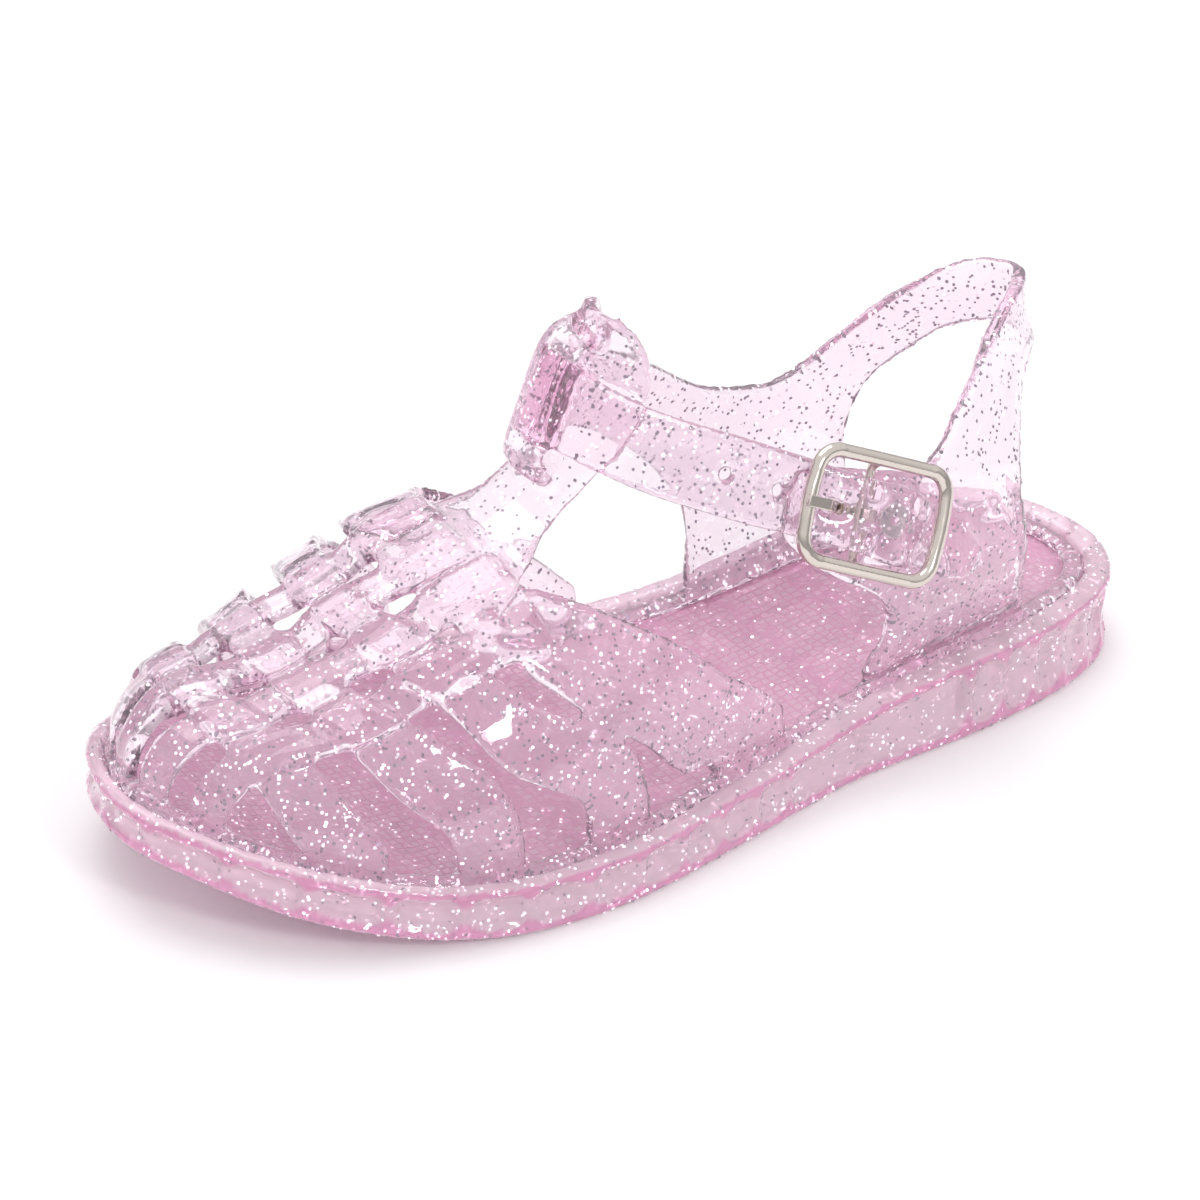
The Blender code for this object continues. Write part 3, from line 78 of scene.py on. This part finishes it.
right, up, back = camera_axes(AZIMUTH, ELEVATION, ROLL)
camera_data = bpy.data.cameras.new("photo_camera")
camera_data.sensor_width = SENSOR
camera_data.lens = LENS
camera_data.clip_start = 0.05
camera = bpy.data.objects.new("photo_camera", camera_data)
bpy.context.scene.collection.objects.link(camera)
place = right * SLIDE_RIGHT + up * SLIDE_UP + back * DISTANCE
sight = place - right * AIM_RIGHT - up * AIM_UP
sight /= np.linalg.norm(sight)
over = up - sight * (up @ sight)
over /= np.linalg.norm(over)
axes = np.column_stack([np.cross(over, sight), over, sight, place])
camera.matrix_world = Matrix([[*row] for row in axes] + [[0, 0, 0, 1]])
bpy.context.scene.camera = camera
print("camera at", np.round(place, 3))

# %% [markdown]
# ## Shader maths as Python
#
# A small class wraps an output socket, so that a mask can be written as an expression. Each
# operator adds one Math node, and the `node` method adds any other kind.

# %% Sockets with operators
class Wire:
    """A socket that can be added, multiplied and compared in plain Python."""

    def __init__(self, tree, socket):
        self.tree, self.socket = tree, socket

    def _math(self, operation, first, second):
        return node(self.tree, "ShaderNodeMath", {"operation": operation}, {0: first, 1: second})[0]

    def __add__(self, other):
        return self._math("ADD", self, other)

    def __radd__(self, other):
        return self._math("ADD", other, self)

    def __sub__(self, other):
        return self._math("SUBTRACT", self, other)

    def __rsub__(self, other):
        return self._math("SUBTRACT", other, self)

    def __mul__(self, other):
        return self._math("MULTIPLY", self, other)

    def __rmul__(self, other):
        return self._math("MULTIPLY", other, self)

    def __lt__(self, other):
        return self._math("LESS_THAN", self, other)

    def wrap(self, size):
        return self._math("FLOORED_MODULO", self, size)

    def away_from(self, value):
        return node(self.tree, "ShaderNodeMath", {"operation": "ABSOLUTE"}, {0: self - value})[0]


def node(tree, kind, settings=None, inputs=None):
    """Any node: settings first, then socket values or links; gives back its outputs as wires."""
    made = tree.nodes.new(kind)
    for name, value in (settings or {}).items():
        setattr(made, name, value)
    for key, value in (inputs or {}).items():
        if isinstance(value, Wire):
            tree.links.new(value.socket, made.inputs[key])
        else:
            made.inputs[key].default_value = value
    return [Wire(tree, output) for output in made.outputs]


def attribute(tree, name):
    """A number stored on the vertices of a piece."""
    return node(tree, "ShaderNodeAttribute", {"attribute_name": name})[2]


def new_material(name):
    material = bpy.data.materials.new(name)
    material.use_nodes = True
    return material, material.node_tree, material.node_tree.nodes["Principled BSDF"]


# %% [markdown]
# ## The jelly
#
# Soft PVC bends light like glass does, and its surface keeps the gloss of the polished mould. Most
# of the pink sits in the volume: an absorption colour that takes out green and blue a little with
# each millimetre, so that 2 mm of wall is a pale lilac and a long edge is a strong pink. The upper
# is almost clear. The thick sole is cloudier: about half of its light is scattered at the skin,
# which is why its footbed and the bars of its side read as solid pink.
#
# Three kinds of relief are too fine for the mesh and go into a bump: the faint ripple of a soft
# wall, the small scales of the footbed, and the line of mock stitches round it. The scales are also
# coloured, with painted shade in the grooves between them.

# %% Jelly material
TINT = (0.985, 0.45, 0.76)       # colour that is left after a long way through the plastic
TINT_PER_METRE = 50.0
JELLY_IOR = 1.30
CLEAR_SKIN = (0.95, 0.90, 0.94)      # what the upper's skin leaves of white light
CLOUDY_SKIN = (0.985, 0.81, 0.90)    # the sole's skin, seen on its clear panels
BED_PINK = (1.0, 0.71, 0.86)         # the footbed's scales
# painted shade: the grooves between the footbed's scales get a darker pink than the scales
GROOVE_SHADE_PINK = (0.95, 0.52, 0.74)     # the grooves between them, where the light gets lost
BAR_PINK = (0.95, 0.43, 0.69)        # the solid bars and lips of the sole's side, seen end on
GLOSS, COAT, COAT_GLOSS = 0.06, 0.8, 0.05
UPPER_CLEAR, SOLE_CLEAR = 0.93, 0.55  # share of the light that goes through the skin unscattered
SOLE_TINT = 1.15                     # the sole's plastic, next to the upper's
RIPPLE_SCALE, RIPPLE = 260.0, 0.06
CELL, CELL_CHANCE = 1.35 * MM, 0.35  # size and unevenness of the footbed's scales
SCALE_EDGE = 0.22                    # part of a cell, from its border, that slopes down
STITCH_INSET, STITCH_WIDTH = 5.2 * MM, 0.55 * MM
STITCH_PITCH, STITCH_LENGTH = 4.6 * MM, 3.3 * MM
SCALE_HEIGHT, STITCH_HEIGHT = 2.4, 0.8
BUMP_SHARE, BUMP_DEPTH = 0.55, 0.25 * MM


def jelly(name, skin, clear, density, textured):
    """Clear tinted plastic; a textured one has scales with painted shade in their grooves, stitches on
    top and pink side bars.
    """
    material, tree, shader = new_material(name)
    shader.inputs["Base Color"].default_value = (*skin, 1.0)
    shader.inputs["Transmission Weight"].default_value = clear
    shader.inputs["Roughness"].default_value = GLOSS
    shader.inputs["Coat Weight"].default_value = COAT
    shader.inputs["Coat Roughness"].default_value = COAT_GLOSS
    shader.inputs["IOR"].default_value = JELLY_IOR
    absorb = tree.nodes.new("ShaderNodeVolumeAbsorption")
    absorb.inputs["Color"].default_value = (*TINT, 1.0)
    absorb.inputs["Density"].default_value = density
    tree.links.new(absorb.outputs[0], tree.nodes["Material Output"].inputs["Volume"])
    place = node(tree, "ShaderNodeTexCoord")[3]
    height = node(tree, "ShaderNodeTexNoise", {},
                  {"Vector": place, "Scale": RIPPLE_SCALE, "Detail": 2.0})[0] * RIPPLE
    if textured:
        cells = node(tree, "ShaderNodeTexVoronoi", {"feature": "DISTANCE_TO_EDGE"},
                     {"Vector": place, "Scale": 1 / CELL, "Randomness": CELL_CHANCE})[0]
        scale = node(tree, "ShaderNodeMath", {"operation": "MINIMUM"}, {0: cells, 1: SCALE_EDGE})[0]
        # painted shade: the colour darkens from each scale towards the groove at its border
        scales_with_groove_shade = node(tree, "ShaderNodeMix", {"data_type": "RGBA"},
                     {0: scale * (1 / SCALE_EDGE), 6: (*GROOVE_SHADE_PINK, 1.0), 7: (*BED_PINK, 1.0)})[2]
        bed = attribute(tree, "footbed")
        top = node(tree, "ShaderNodeMix", {"data_type": "RGBA"},
                   {0: bed, 6: (*skin, 1.0), 7: scales_with_groove_shade})[2]
        side = node(tree, "ShaderNodeMix", {"data_type": "RGBA"},
                    {0: attribute(tree, "bar"), 6: top, 7: (*BAR_PINK, 1.0)})[2]
        tree.links.new(side.socket, shader.inputs["Base Color"])
        line = attribute(tree, "from_rim").away_from(STITCH_INSET) < STITCH_WIDTH
        dash = attribute(tree, "run").wrap(STITCH_PITCH) < STITCH_LENGTH
        height = height + bed * (scale * SCALE_HEIGHT + line * dash * STITCH_HEIGHT)
    bump = node(tree, "ShaderNodeBump", {},
                {"Height": height, "Strength": BUMP_SHARE, "Distance": BUMP_DEPTH})[0]
    tree.links.new(bump.socket, shader.inputs["Normal"])
    return material


upper_jelly = jelly("upper_jelly_clear", CLEAR_SKIN, UPPER_CLEAR, TINT_PER_METRE, False)
sole_jelly = jelly("sole_jelly_cloudy", CLOUDY_SKIN, SOLE_CLEAR, TINT_PER_METRE * SOLE_TINT, True)

# %% [markdown]
# ## Metal of the buckle and of the flakes
#
# The buckle is plated with a pale, slightly warm nickel. The flakes are punched from silvered film:
# each is a flat mirror that shows either a bright lamp or the dark of the room. That reflection is
# painted: a number on each flake picks a painted dark or a painted bright colour, and the flake also
# glows with it as painted light.

# %% Metal materials
PLATE_SCALE, STREAK = 900.0, 0.12
DENT_SHARE, DENT_DEPTH = 0.12, 0.05 * MM
# painted reflection: the dark and the bright colour a flake gets in place of the room or lamp it would
# mirror
PAINTED_DARK_REFLECTION, PAINTED_BRIGHT_REFLECTION = (0.20, 0.17, 0.21), (1.0, 0.97, 1.0)
FILM_ROUGHNESS = 0.3
# painted light: the flakes glow with their own colour, though they are no lamp
PAINTED_FLAKE_GLOW = 0.65                # light that a flake catches from lamps which the wall would blur


def plated(name, colour, roughness):
    """Polished plate with faint streaks in its roughness and tiny dents."""
    material, tree, shader = new_material(name)
    shader.inputs["Base Color"].default_value = (*colour, 1.0)
    shader.inputs["Metallic"].default_value = 1.0
    place = node(tree, "ShaderNodeTexCoord")[3]
    cloud = node(tree, "ShaderNodeTexNoise", {},
                 {"Vector": place, "Scale": PLATE_SCALE, "Detail": 3.0})[0]
    tree.links.new((cloud * STREAK + roughness).socket, shader.inputs["Roughness"])
    bump = node(tree, "ShaderNodeBump", {},
                {"Height": cloud, "Strength": DENT_SHARE, "Distance": DENT_DEPTH})[0]
    tree.links.new(bump.socket, shader.inputs["Normal"])
    return material


def film_with_painted_glints():
    """Mirror film with painted reflections: each flake's painted glint number picks its colour, which
    also glows.
    """
    material, tree, shader = new_material("film_with_painted_glints")
    painted_glint = attribute(tree, "painted_glint")
    ramp = node(tree, "ShaderNodeMix", {"data_type": "RGBA"},
                {0: painted_glint, 6: (*PAINTED_DARK_REFLECTION, 1.0), 7: (*PAINTED_BRIGHT_REFLECTION, 1.0)})[2]
    tree.links.new(ramp.socket, shader.inputs["Base Color"])
    shader.inputs["Metallic"].default_value = 1.0
    shader.inputs["Roughness"].default_value = FILM_ROUGHNESS
    # painted light: the flake colour also glows as emission
    tree.links.new(ramp.socket, shader.inputs["Emission Color"])
    shader.inputs["Emission Strength"].default_value = PAINTED_FLAKE_GLOW
    material.cycles.emission_sampling = "NONE"
    return material


buckle_plate = plated("buckle_plate", (0.67, 0.61, 0.56), 0.10)
rivet_plate = plated("rivet_plate", (0.80, 0.77, 0.75), 0.14)
film = film_with_painted_glints()

# %% [markdown]
# ## From faceted solid to moulded piece
#
# A mould has no knife edges: every corner of the sandal is rounded by a few tenths of a
# millimetre, and its straps are smooth curves. The frame's solids are flat triangles. Two steps
# turn one into the other. First each triangle is cut into smaller ones, and the new points are
# pulled towards the planes that stand square on the corner normals, which bends the triangle into
# a curved patch. Then the surface is rebuilt on a fine grid of voxels and relaxed a little, which
# rounds every edge and fuses every crossing, just as the plastic does.

# %% Curved patches
SHARP = math.radians(35)
WIDEST_BEND = 16 * MM            # triangles wider than this are flat on the real piece too
BEND = 0.7                       # share of the full bend that a small triangle gets
SAME_SPOT = 0.002 * MM           # loose corners nearer than this are one corner


def merged_copy(name):
    """The frame's loose triangles as one joined mesh, with split normals at sharp edges."""
    bm = bmesh.new()
    bm.from_mesh(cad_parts[name].data)
    bmesh.ops.remove_doubles(bm, verts=bm.verts, dist=SAME_SPOT)
    bmesh.ops.triangulate(bm, faces=bm.faces)
    mesh = bpy.data.meshes.new(name + "_joined")
    bm.to_mesh(mesh)
    bm.free()
    mesh.shade_smooth()
    mesh.set_sharp_from_angle(angle=SHARP)
    return mesh


def patches(mesh, cuts, pull=BEND):
    """Triangles bent by their corner normals.

    A point with weights u, v, w is moved to (1 - pull) P + pull (u Pa + v Pb + w Pc), where Pa is
    P dropped onto the plane through corner a that is square to the normal there.
    """
    count = len(mesh.vertices)
    points = np.empty(count * 3)
    mesh.vertices.foreach_get("co", points)
    points = points.reshape(-1, 3)
    corners = np.empty(len(mesh.loops), int)
    mesh.loops.foreach_get("vertex_index", corners)
    corners = corners.reshape(-1, 3)
    normals = np.empty(len(mesh.loops) * 3)
    mesh.corner_normals.foreach_get("vector", normals)
    normals = normals.reshape(-1, 3, 3)
    steps = [(i, j) for i in range(cuts + 1) for j in range(cuts + 1 - i)]
    weights = np.array([(i, j, cuts - i - j) for i, j in steps]) / cuts
    triangle = points[corners]
    flat = np.einsum("pk,tkc->tpc", weights, triangle)
    away = flat[:, :, None] - triangle[:, None]
    drop = np.einsum("tpkc,tkc->tpk", away, normals)
    onto = flat[:, :, None] - drop[..., None] * normals[:, None]
    curved = np.einsum("pk,tpkc->tpc", weights, onto)
    longest = np.linalg.norm(triangle - np.roll(triangle, 1, axis=1), axis=2).max(axis=1)
    share = pull * np.clip((WIDEST_BEND - longest) / WIDEST_BEND * 2, 0, 1)[:, None, None]
    bent = (1 - share) * flat + share * curved
    index = {step: k for k, step in enumerate(steps)}
    small = []
    for i in range(cuts):
        for j in range(cuts - i):
            small.append((index[i, j], index[i + 1, j], index[i, j + 1]))
            if i + j < cuts - 1:
                small.append((index[i + 1, j], index[i + 1, j + 1], index[i, j + 1]))
    small = np.array(small)
    faces = (np.arange(len(triangle))[:, None, None] * len(weights) + small[None]).reshape(-1, 3)
    return bent.reshape(-1, 3), faces


def mesh_of(name, points, faces):
    mesh = bpy.data.meshes.new(name)
    mesh.from_pydata(points, [], faces)
    return mesh


def mesh_points(mesh):
    values = np.empty(len(mesh.vertices) * 3)
    mesh.vertices.foreach_get("co", values)
    return values.reshape(-1, 3)


def mesh_normals(mesh):
    values = np.empty(len(mesh.vertices) * 3)
    mesh.vertex_normals.foreach_get("vector", values)
    return values.reshape(-1, 3)


def turn_outward(mesh):
    """Turns every face round if the volume that they enclose comes out negative."""
    bm = bmesh.new()
    bm.from_mesh(mesh)
    if bm.calc_volume(signed=True) < 0:
        bmesh.ops.reverse_faces(bm, faces=bm.faces)
        bm.to_mesh(mesh)
    bm.free()


# %% Moulded pieces
RELAX = 0.5


def moulded(node_name, name, voxel, relax, cuts, material):
    """The node's solid with rounded edges, as a piece that stands for the node.

    The voxels and the relaxing may push a flat sole a little way under the floor, so no point of
    the finished mesh is left below z = 0.
    """
    source = merged_copy(node_name)
    points, faces = patches(source, cuts)
    bm = bmesh.new()
    bm.from_mesh(mesh_of(name, points, faces))
    bmesh.ops.remove_doubles(bm, verts=bm.verts, dist=2 * SAME_SPOT)
    mesh = bpy.data.meshes.new(name)
    bm.to_mesh(mesh)
    bm.free()
    piece = bpy.data.objects.new(name, mesh)
    bpy.context.scene.collection.objects.link(piece)
    remesh = piece.modifiers.new("voxels", "REMESH")
    remesh.mode = "VOXEL"
    remesh.voxel_size = voxel
    remesh.use_smooth_shade = True
    soften = piece.modifiers.new("relax", "SMOOTH")
    soften.factor = RELAX
    soften.iterations = relax
    bpy.context.view_layer.update()
    ready = piece.evaluated_get(bpy.context.evaluated_depsgraph_get())
    final = bpy.data.meshes.new_from_object(ready)
    piece.modifiers.clear()
    turn_outward(final)
    settled = mesh_points(final)
    settled[:, 2] = np.maximum(settled[:, 2], 0.0)
    final.vertices.foreach_set("co", settled.ravel())
    piece.data = final
    final.shade_smooth()
    final.materials.clear()
    final.materials.append(material)
    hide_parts(node_name)
    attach(piece, "root")
    print(name, len(final.polygons), "faces")
    return piece


upper = moulded("upper", "upper_moulded", 0.60 * MM, 4, 3, upper_jelly)
sole = moulded("sole", "sole_moulded", 0.64 * MM, 3, 2, sole_jelly)
moulded("buckle_frame", "buckle_wire", 0.16 * MM, 6, 4, buckle_plate)
moulded("buckle_rivet", "rivet_head", 0.08 * MM, 8, 1, rivet_plate)

# %% [markdown]
# The prong is stamped from strip. Voxels fine enough for it would be wasted on its flat sides, so
# it keeps its planes, and only its edges are rolled round with a bevel.

# %% Stamped prong
EDGE_STEPS = 3


def stamped(node_name, name, edge, material):
    """The node's joined solid with rolled edges, as a piece that stands for the node."""
    mesh = merged_copy(node_name)
    piece = bpy.data.objects.new(name, mesh)
    bpy.context.scene.collection.objects.link(piece)
    bevel = piece.modifiers.new("rolled_edge", "BEVEL")
    bevel.width = edge
    bevel.segments = EDGE_STEPS
    bevel.limit_method = "ANGLE"
    bevel.angle_limit = SHARP
    mesh.materials.append(material)
    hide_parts(node_name)
    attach(piece, "root")
    print(name, len(mesh.polygons), "faces before its bevel")


stamped("buckle_prong", "buckle_tongue", 0.14 * MM, buckle_plate)

# %% [markdown]
# ## Where the footbed's pattern runs
#
# The scales and the line of mock stitches follow the edge of the sole. A shader can't measure a
# distance to an outline, so it is worked out here for every vertex and stored as numbers: whether
# the point is on the footbed, how far it is from the edge, how far it is round it, and whether it
# lies on one of the upright bars of the sole's side, which look pinker than the panels between.

# %% Footbed numbers
BAR_FLUSH = 0.30 * MM            # bars and lips lie this near the outline, the clear panels deeper
BAR_SHARE = 0.85
STEEP, LEVEL = 0.6, 0.8          # upward part of the normal on a side wall and on the footbed
BED_INSET = 4.2 * MM
STRAIGHT_HALF = 50 * MM          # half of the middle line that the outline's rays start from
RAY_STEP, RAY_TURN = 1.5, 3      # one ray in so many millimetres, and degrees round the ends


def plan_outline(points):
    """Outermost point in each direction from the middle line, as a closed line in plan.

    Beside the middle line a ray's key is the side times the place along it, and past its ends it is
    the angle, with 2000 or 4000 added so that no two keys meet.
    """
    middle = np.stack([np.clip(points[:, 0], -STRAIGHT_HALF, STRAIGHT_HALF), 0 * points[:, 1]], axis=1)
    ray = points[:, :2] - middle
    straight = np.abs(points[:, 0]) < STRAIGHT_HALF
    beside = np.sign(ray[:, 1]) * (points[:, 0] + 0.1) * 1000 // RAY_STEP
    angle = np.degrees(np.arctan2(ray[:, 1], ray[:, 0])) // RAY_TURN
    key = np.where(straight, beside, angle + np.where(points[:, 0] > 0, 2000, 4000))
    reach = np.hypot(*ray.T)
    order = np.lexsort((-reach, key))
    first = np.unique(key[order], return_index=True)[1]
    line = points[order[first], :2]
    turn = np.arctan2(line[:, 1], line[:, 0])
    return line[np.argsort(turn)]


def store(mesh, name, values):
    """One number for each vertex, which a material can read by its name."""
    layer = mesh.attributes.new(name, "FLOAT", "POINT")
    layer.data.foreach_set("value", np.ascontiguousarray(values, np.float32))


def footbed_numbers(mesh):
    """Nearest distance to the outline, and place along it: the least over all its segments."""
    points, normals = mesh_points(mesh), mesh_normals(mesh)
    line = plan_outline(points)
    ahead = np.roll(line, -1, axis=0) - line
    run = np.concatenate([[0], np.cumsum(np.hypot(*ahead.T))])[:-1]
    best = np.full(len(points), 1.0)
    along = np.zeros(len(points))
    for start, step, so_far in zip(line, ahead, run):
        share = np.clip(((points[:, :2] - start) @ step) / (step @ step + 1e-12), 0, 1)
        near = np.hypot(*(points[:, :2] - start - share[:, None] * step).T)
        closer = near < best
        best = np.where(closer, near, best)
        along = np.where(closer, so_far + share * np.hypot(*step), along)
    store(mesh, "from_rim", best)
    store(mesh, "run", along)
    store(mesh, "footbed", ((normals[:, 2] > LEVEL) & (best > BED_INSET)).astype(float))
    upright = np.abs(normals[:, 2]) < STEEP
    flush = np.clip((BAR_FLUSH - best) / (0.5 * BAR_FLUSH) + 1, 0, 1)
    store(mesh, "bar", upright * flush * BAR_SHARE)
    print("outline of", len(line), "points, round", round(run[-1] * 1000), "mm")


footbed_numbers(sole.data)

# %% [markdown]
# ## Glitter
#
# The flakes are discs about half a millimetre across, stirred into the plastic before it was
# injected. They lie roughly along the wall, because the flow turned them. Thousands of them are
# one joined mesh: random spots on the skin, pushed inwards by a random depth, each with six
# corners round a centre and tilted a little off the wall. In the clear upper they lie at all
# depths. The cloudy sole hides the deep ones, so its flakes are all set in the skin, and few are
# put on the footbed, where the scales break up their shine.

# %% Flakes in the plastic
FLAKE = 0.26 * MM                # radius
FLAKE_SIZES = (0.75, 1.1)        # smallest and largest, as shares of it
FLAKE_TURNS = 6
FLAKE_TILT = 0.25
# painted glints: these set how often a flake is given the bright painted colour
LIT_AWAY, LIT_MORE = 0.30, 0.62  # share of bright flakes away from the lamp, and what facing it adds
DIMMEST = 0.7
LAMP_SIDE = np.array([0.35, 0.35, 0.87])   # flakes that lie square to this are the brightest


def flakes(piece, name, count, depth, seed, bed_share=1.0):
    """Discs under the surface: centre C = P - depth N, corners C + r (cos t A + sin t B)."""
    chance = np.random.default_rng(seed)
    mesh = piece.data
    mesh.calc_loop_triangles()
    points, normals = mesh_points(mesh), mesh_normals(mesh)
    triangles = np.empty(len(mesh.loop_triangles) * 3, int)
    mesh.loop_triangles.foreach_get("vertices", triangles)
    triangles = triangles.reshape(-1, 3)
    a, b, c = (points[triangles[:, k]] for k in range(3))
    area = np.linalg.norm(np.cross(b - a, c - a), axis=1)
    if "footbed" in mesh.attributes:
        bed = np.empty(len(mesh.vertices), np.float32)
        mesh.attributes["footbed"].data.foreach_get("value", bed)
        area = area * np.where(bed[triangles[:, 0]] > 0.5, bed_share, 1.0)
    picked = chance.choice(len(area), count, p=area / area.sum())
    u, v = chance.random((2, count))
    u, v = np.where(u + v > 1, 1 - u, u), np.where(u + v > 1, 1 - v, v)
    spot = a[picked] + u[:, None] * (b - a)[picked] + v[:, None] * (c - a)[picked]
    facing = normals[triangles[picked, 0]]
    centre = spot - facing * chance.uniform(depth[0], depth[1], count)[:, None]
    centre[:, 2] = np.maximum(centre[:, 2], FLAKE)
    tilted = facing + chance.normal(0, FLAKE_TILT, (count, 3))
    tilted /= np.linalg.norm(tilted, axis=1)[:, None]
    side = np.cross(tilted, chance.normal(0, 1, (count, 3)))
    side /= np.linalg.norm(side, axis=1)[:, None]
    third = np.cross(tilted, side)
    turn = np.arange(FLAKE_TURNS) * 2 * math.pi / FLAKE_TURNS
    radius = FLAKE * chance.uniform(*FLAKE_SIZES, count)[:, None, None]
    ring = np.cos(turn)[None, :, None] * side[:, None] + np.sin(turn)[None, :, None] * third[:, None]
    corners = (centre[:, None] + radius * ring).reshape(-1, 3)
    start = np.arange(count)[:, None] * FLAKE_TURNS
    faces = np.arange(FLAKE_TURNS)[None] + start
    disc = mesh_of(name, corners, faces)
    # painted highlight: flakes whose wall faces the lamp side are more often marked bright
    lit = chance.random(count) < LIT_AWAY + LIT_MORE * np.clip(facing @ LAMP_SIDE, 0, 1)
    store(disc, "painted_glint", np.repeat(lit * chance.uniform(DIMMEST, 1.0, count), FLAKE_TURNS))
    disc.materials.append(film)
    flock = bpy.data.objects.new(name, disc)
    bpy.context.scene.collection.objects.link(flock)
    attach(flock, "root")
    print(name, count, "flakes")


flakes(upper, "upper_glitter", 7500, (0.12 * MM, 1.3 * MM), 3)
flakes(sole, "sole_glitter", 11000, (-0.02 * MM, 0.05 * MM), 4, 0.4)

# %% [markdown]
# ## Floor and light
#
# The photo is a catalogue shot on white: light from all round, a large soft lamp above, and a
# smaller one in front that draws the long highlights on the straps. Metal needs something dark to
# mirror, so the surroundings fade to grey towards the horizon.

# %% Studio
FLOOR_SIZE = 3.0
FLOOR_DROP = 0.02 * MM
PAPER_WHITE, PAPER_GRAIN = (0.93, 0.925, 0.93), 1.01
HORIZON, ZENITH = (0.42, 0.41, 0.42), (1.0, 1.0, 1.0)
HORIZON_TOP, SKY_START = 0.05, 0.45   # heights on the unit sphere where the dark band fades
SKY_POWER = 0.92


def paper(name, colour):
    material, tree, shader = new_material(name)
    shader.inputs["Roughness"].default_value = 0.9
    shader.inputs["Specular IOR Level"].default_value = 0.1
    place = node(tree, "ShaderNodeTexCoord")[3]
    grain = node(tree, "ShaderNodeTexNoise", {}, {"Vector": place, "Scale": 30.0})[0]
    tone = node(tree, "ShaderNodeMix", {"data_type": "RGBA"},
                {0: grain, 6: (*colour, 1.0),
                 7: (*(min(1.0, c * PAPER_GRAIN) for c in colour), 1.0)})[2]
    tree.links.new(tone.socket, shader.inputs["Base Color"])
    return material


corners = np.array([(-1, -1), (1, -1), (1, 1), (-1, 1)]) * FLOOR_SIZE / 2
floor_mesh = mesh_of("floor", np.column_stack([corners, np.full(4, -FLOOR_DROP)]), [(0, 1, 2, 3)])
floor_mesh.materials.append(paper("white_paper", PAPER_WHITE))
floor = bpy.data.objects.new("floor", floor_mesh)
bpy.context.scene.collection.objects.link(floor)


def lamp(name, side, height, depth, size, power):
    """Square soft lamp that faces the shoe, placed by the camera's right, up and back axes."""
    data = bpy.data.lights.new(name, "AREA")
    data.shape = "SQUARE"
    data.size = size
    data.energy = power
    ob = bpy.data.objects.new(name, data)
    bpy.context.scene.collection.objects.link(ob)
    ground = np.array([back[0], back[1], 0]) / np.hypot(back[0], back[1])
    spot = right * side + ground * depth + np.array([0, 0, height])
    toward = spot / np.linalg.norm(spot)
    across = np.cross([0, 0, 1], toward)
    across /= np.linalg.norm(across)
    turned = np.column_stack([across, np.cross(toward, across), toward, spot])
    ob.matrix_world = Matrix([[*row] for row in turned] + [[0, 0, 0, 1]])


lamp("overhead", -0.25, 1.1, -0.35, 0.9, 5.0)
lamp("front", 0.45, 0.65, 0.75, 0.22, 2.6)
world = bpy.data.worlds.new("studio")
bpy.context.scene.world = world
world.use_nodes = True
sky = world.node_tree
rise = node(sky, "ShaderNodeSeparateXYZ", {}, {0: node(sky, "ShaderNodeTexCoord")[0]})[2]
level = node(sky, "ShaderNodeMapRange", {}, {0: rise, 1: HORIZON_TOP, 2: SKY_START})[0]
tone = node(sky, "ShaderNodeMix", {"data_type": "RGBA"},
            {0: level, 6: (*HORIZON, 1.0), 7: (*ZENITH, 1.0)})[2]
sky.links.new(tone.socket, sky.nodes["Background"].inputs["Color"])
sky.nodes["Background"].inputs["Strength"].default_value = SKY_POWER
bpy.context.scene.view_settings.view_transform = "Standard"
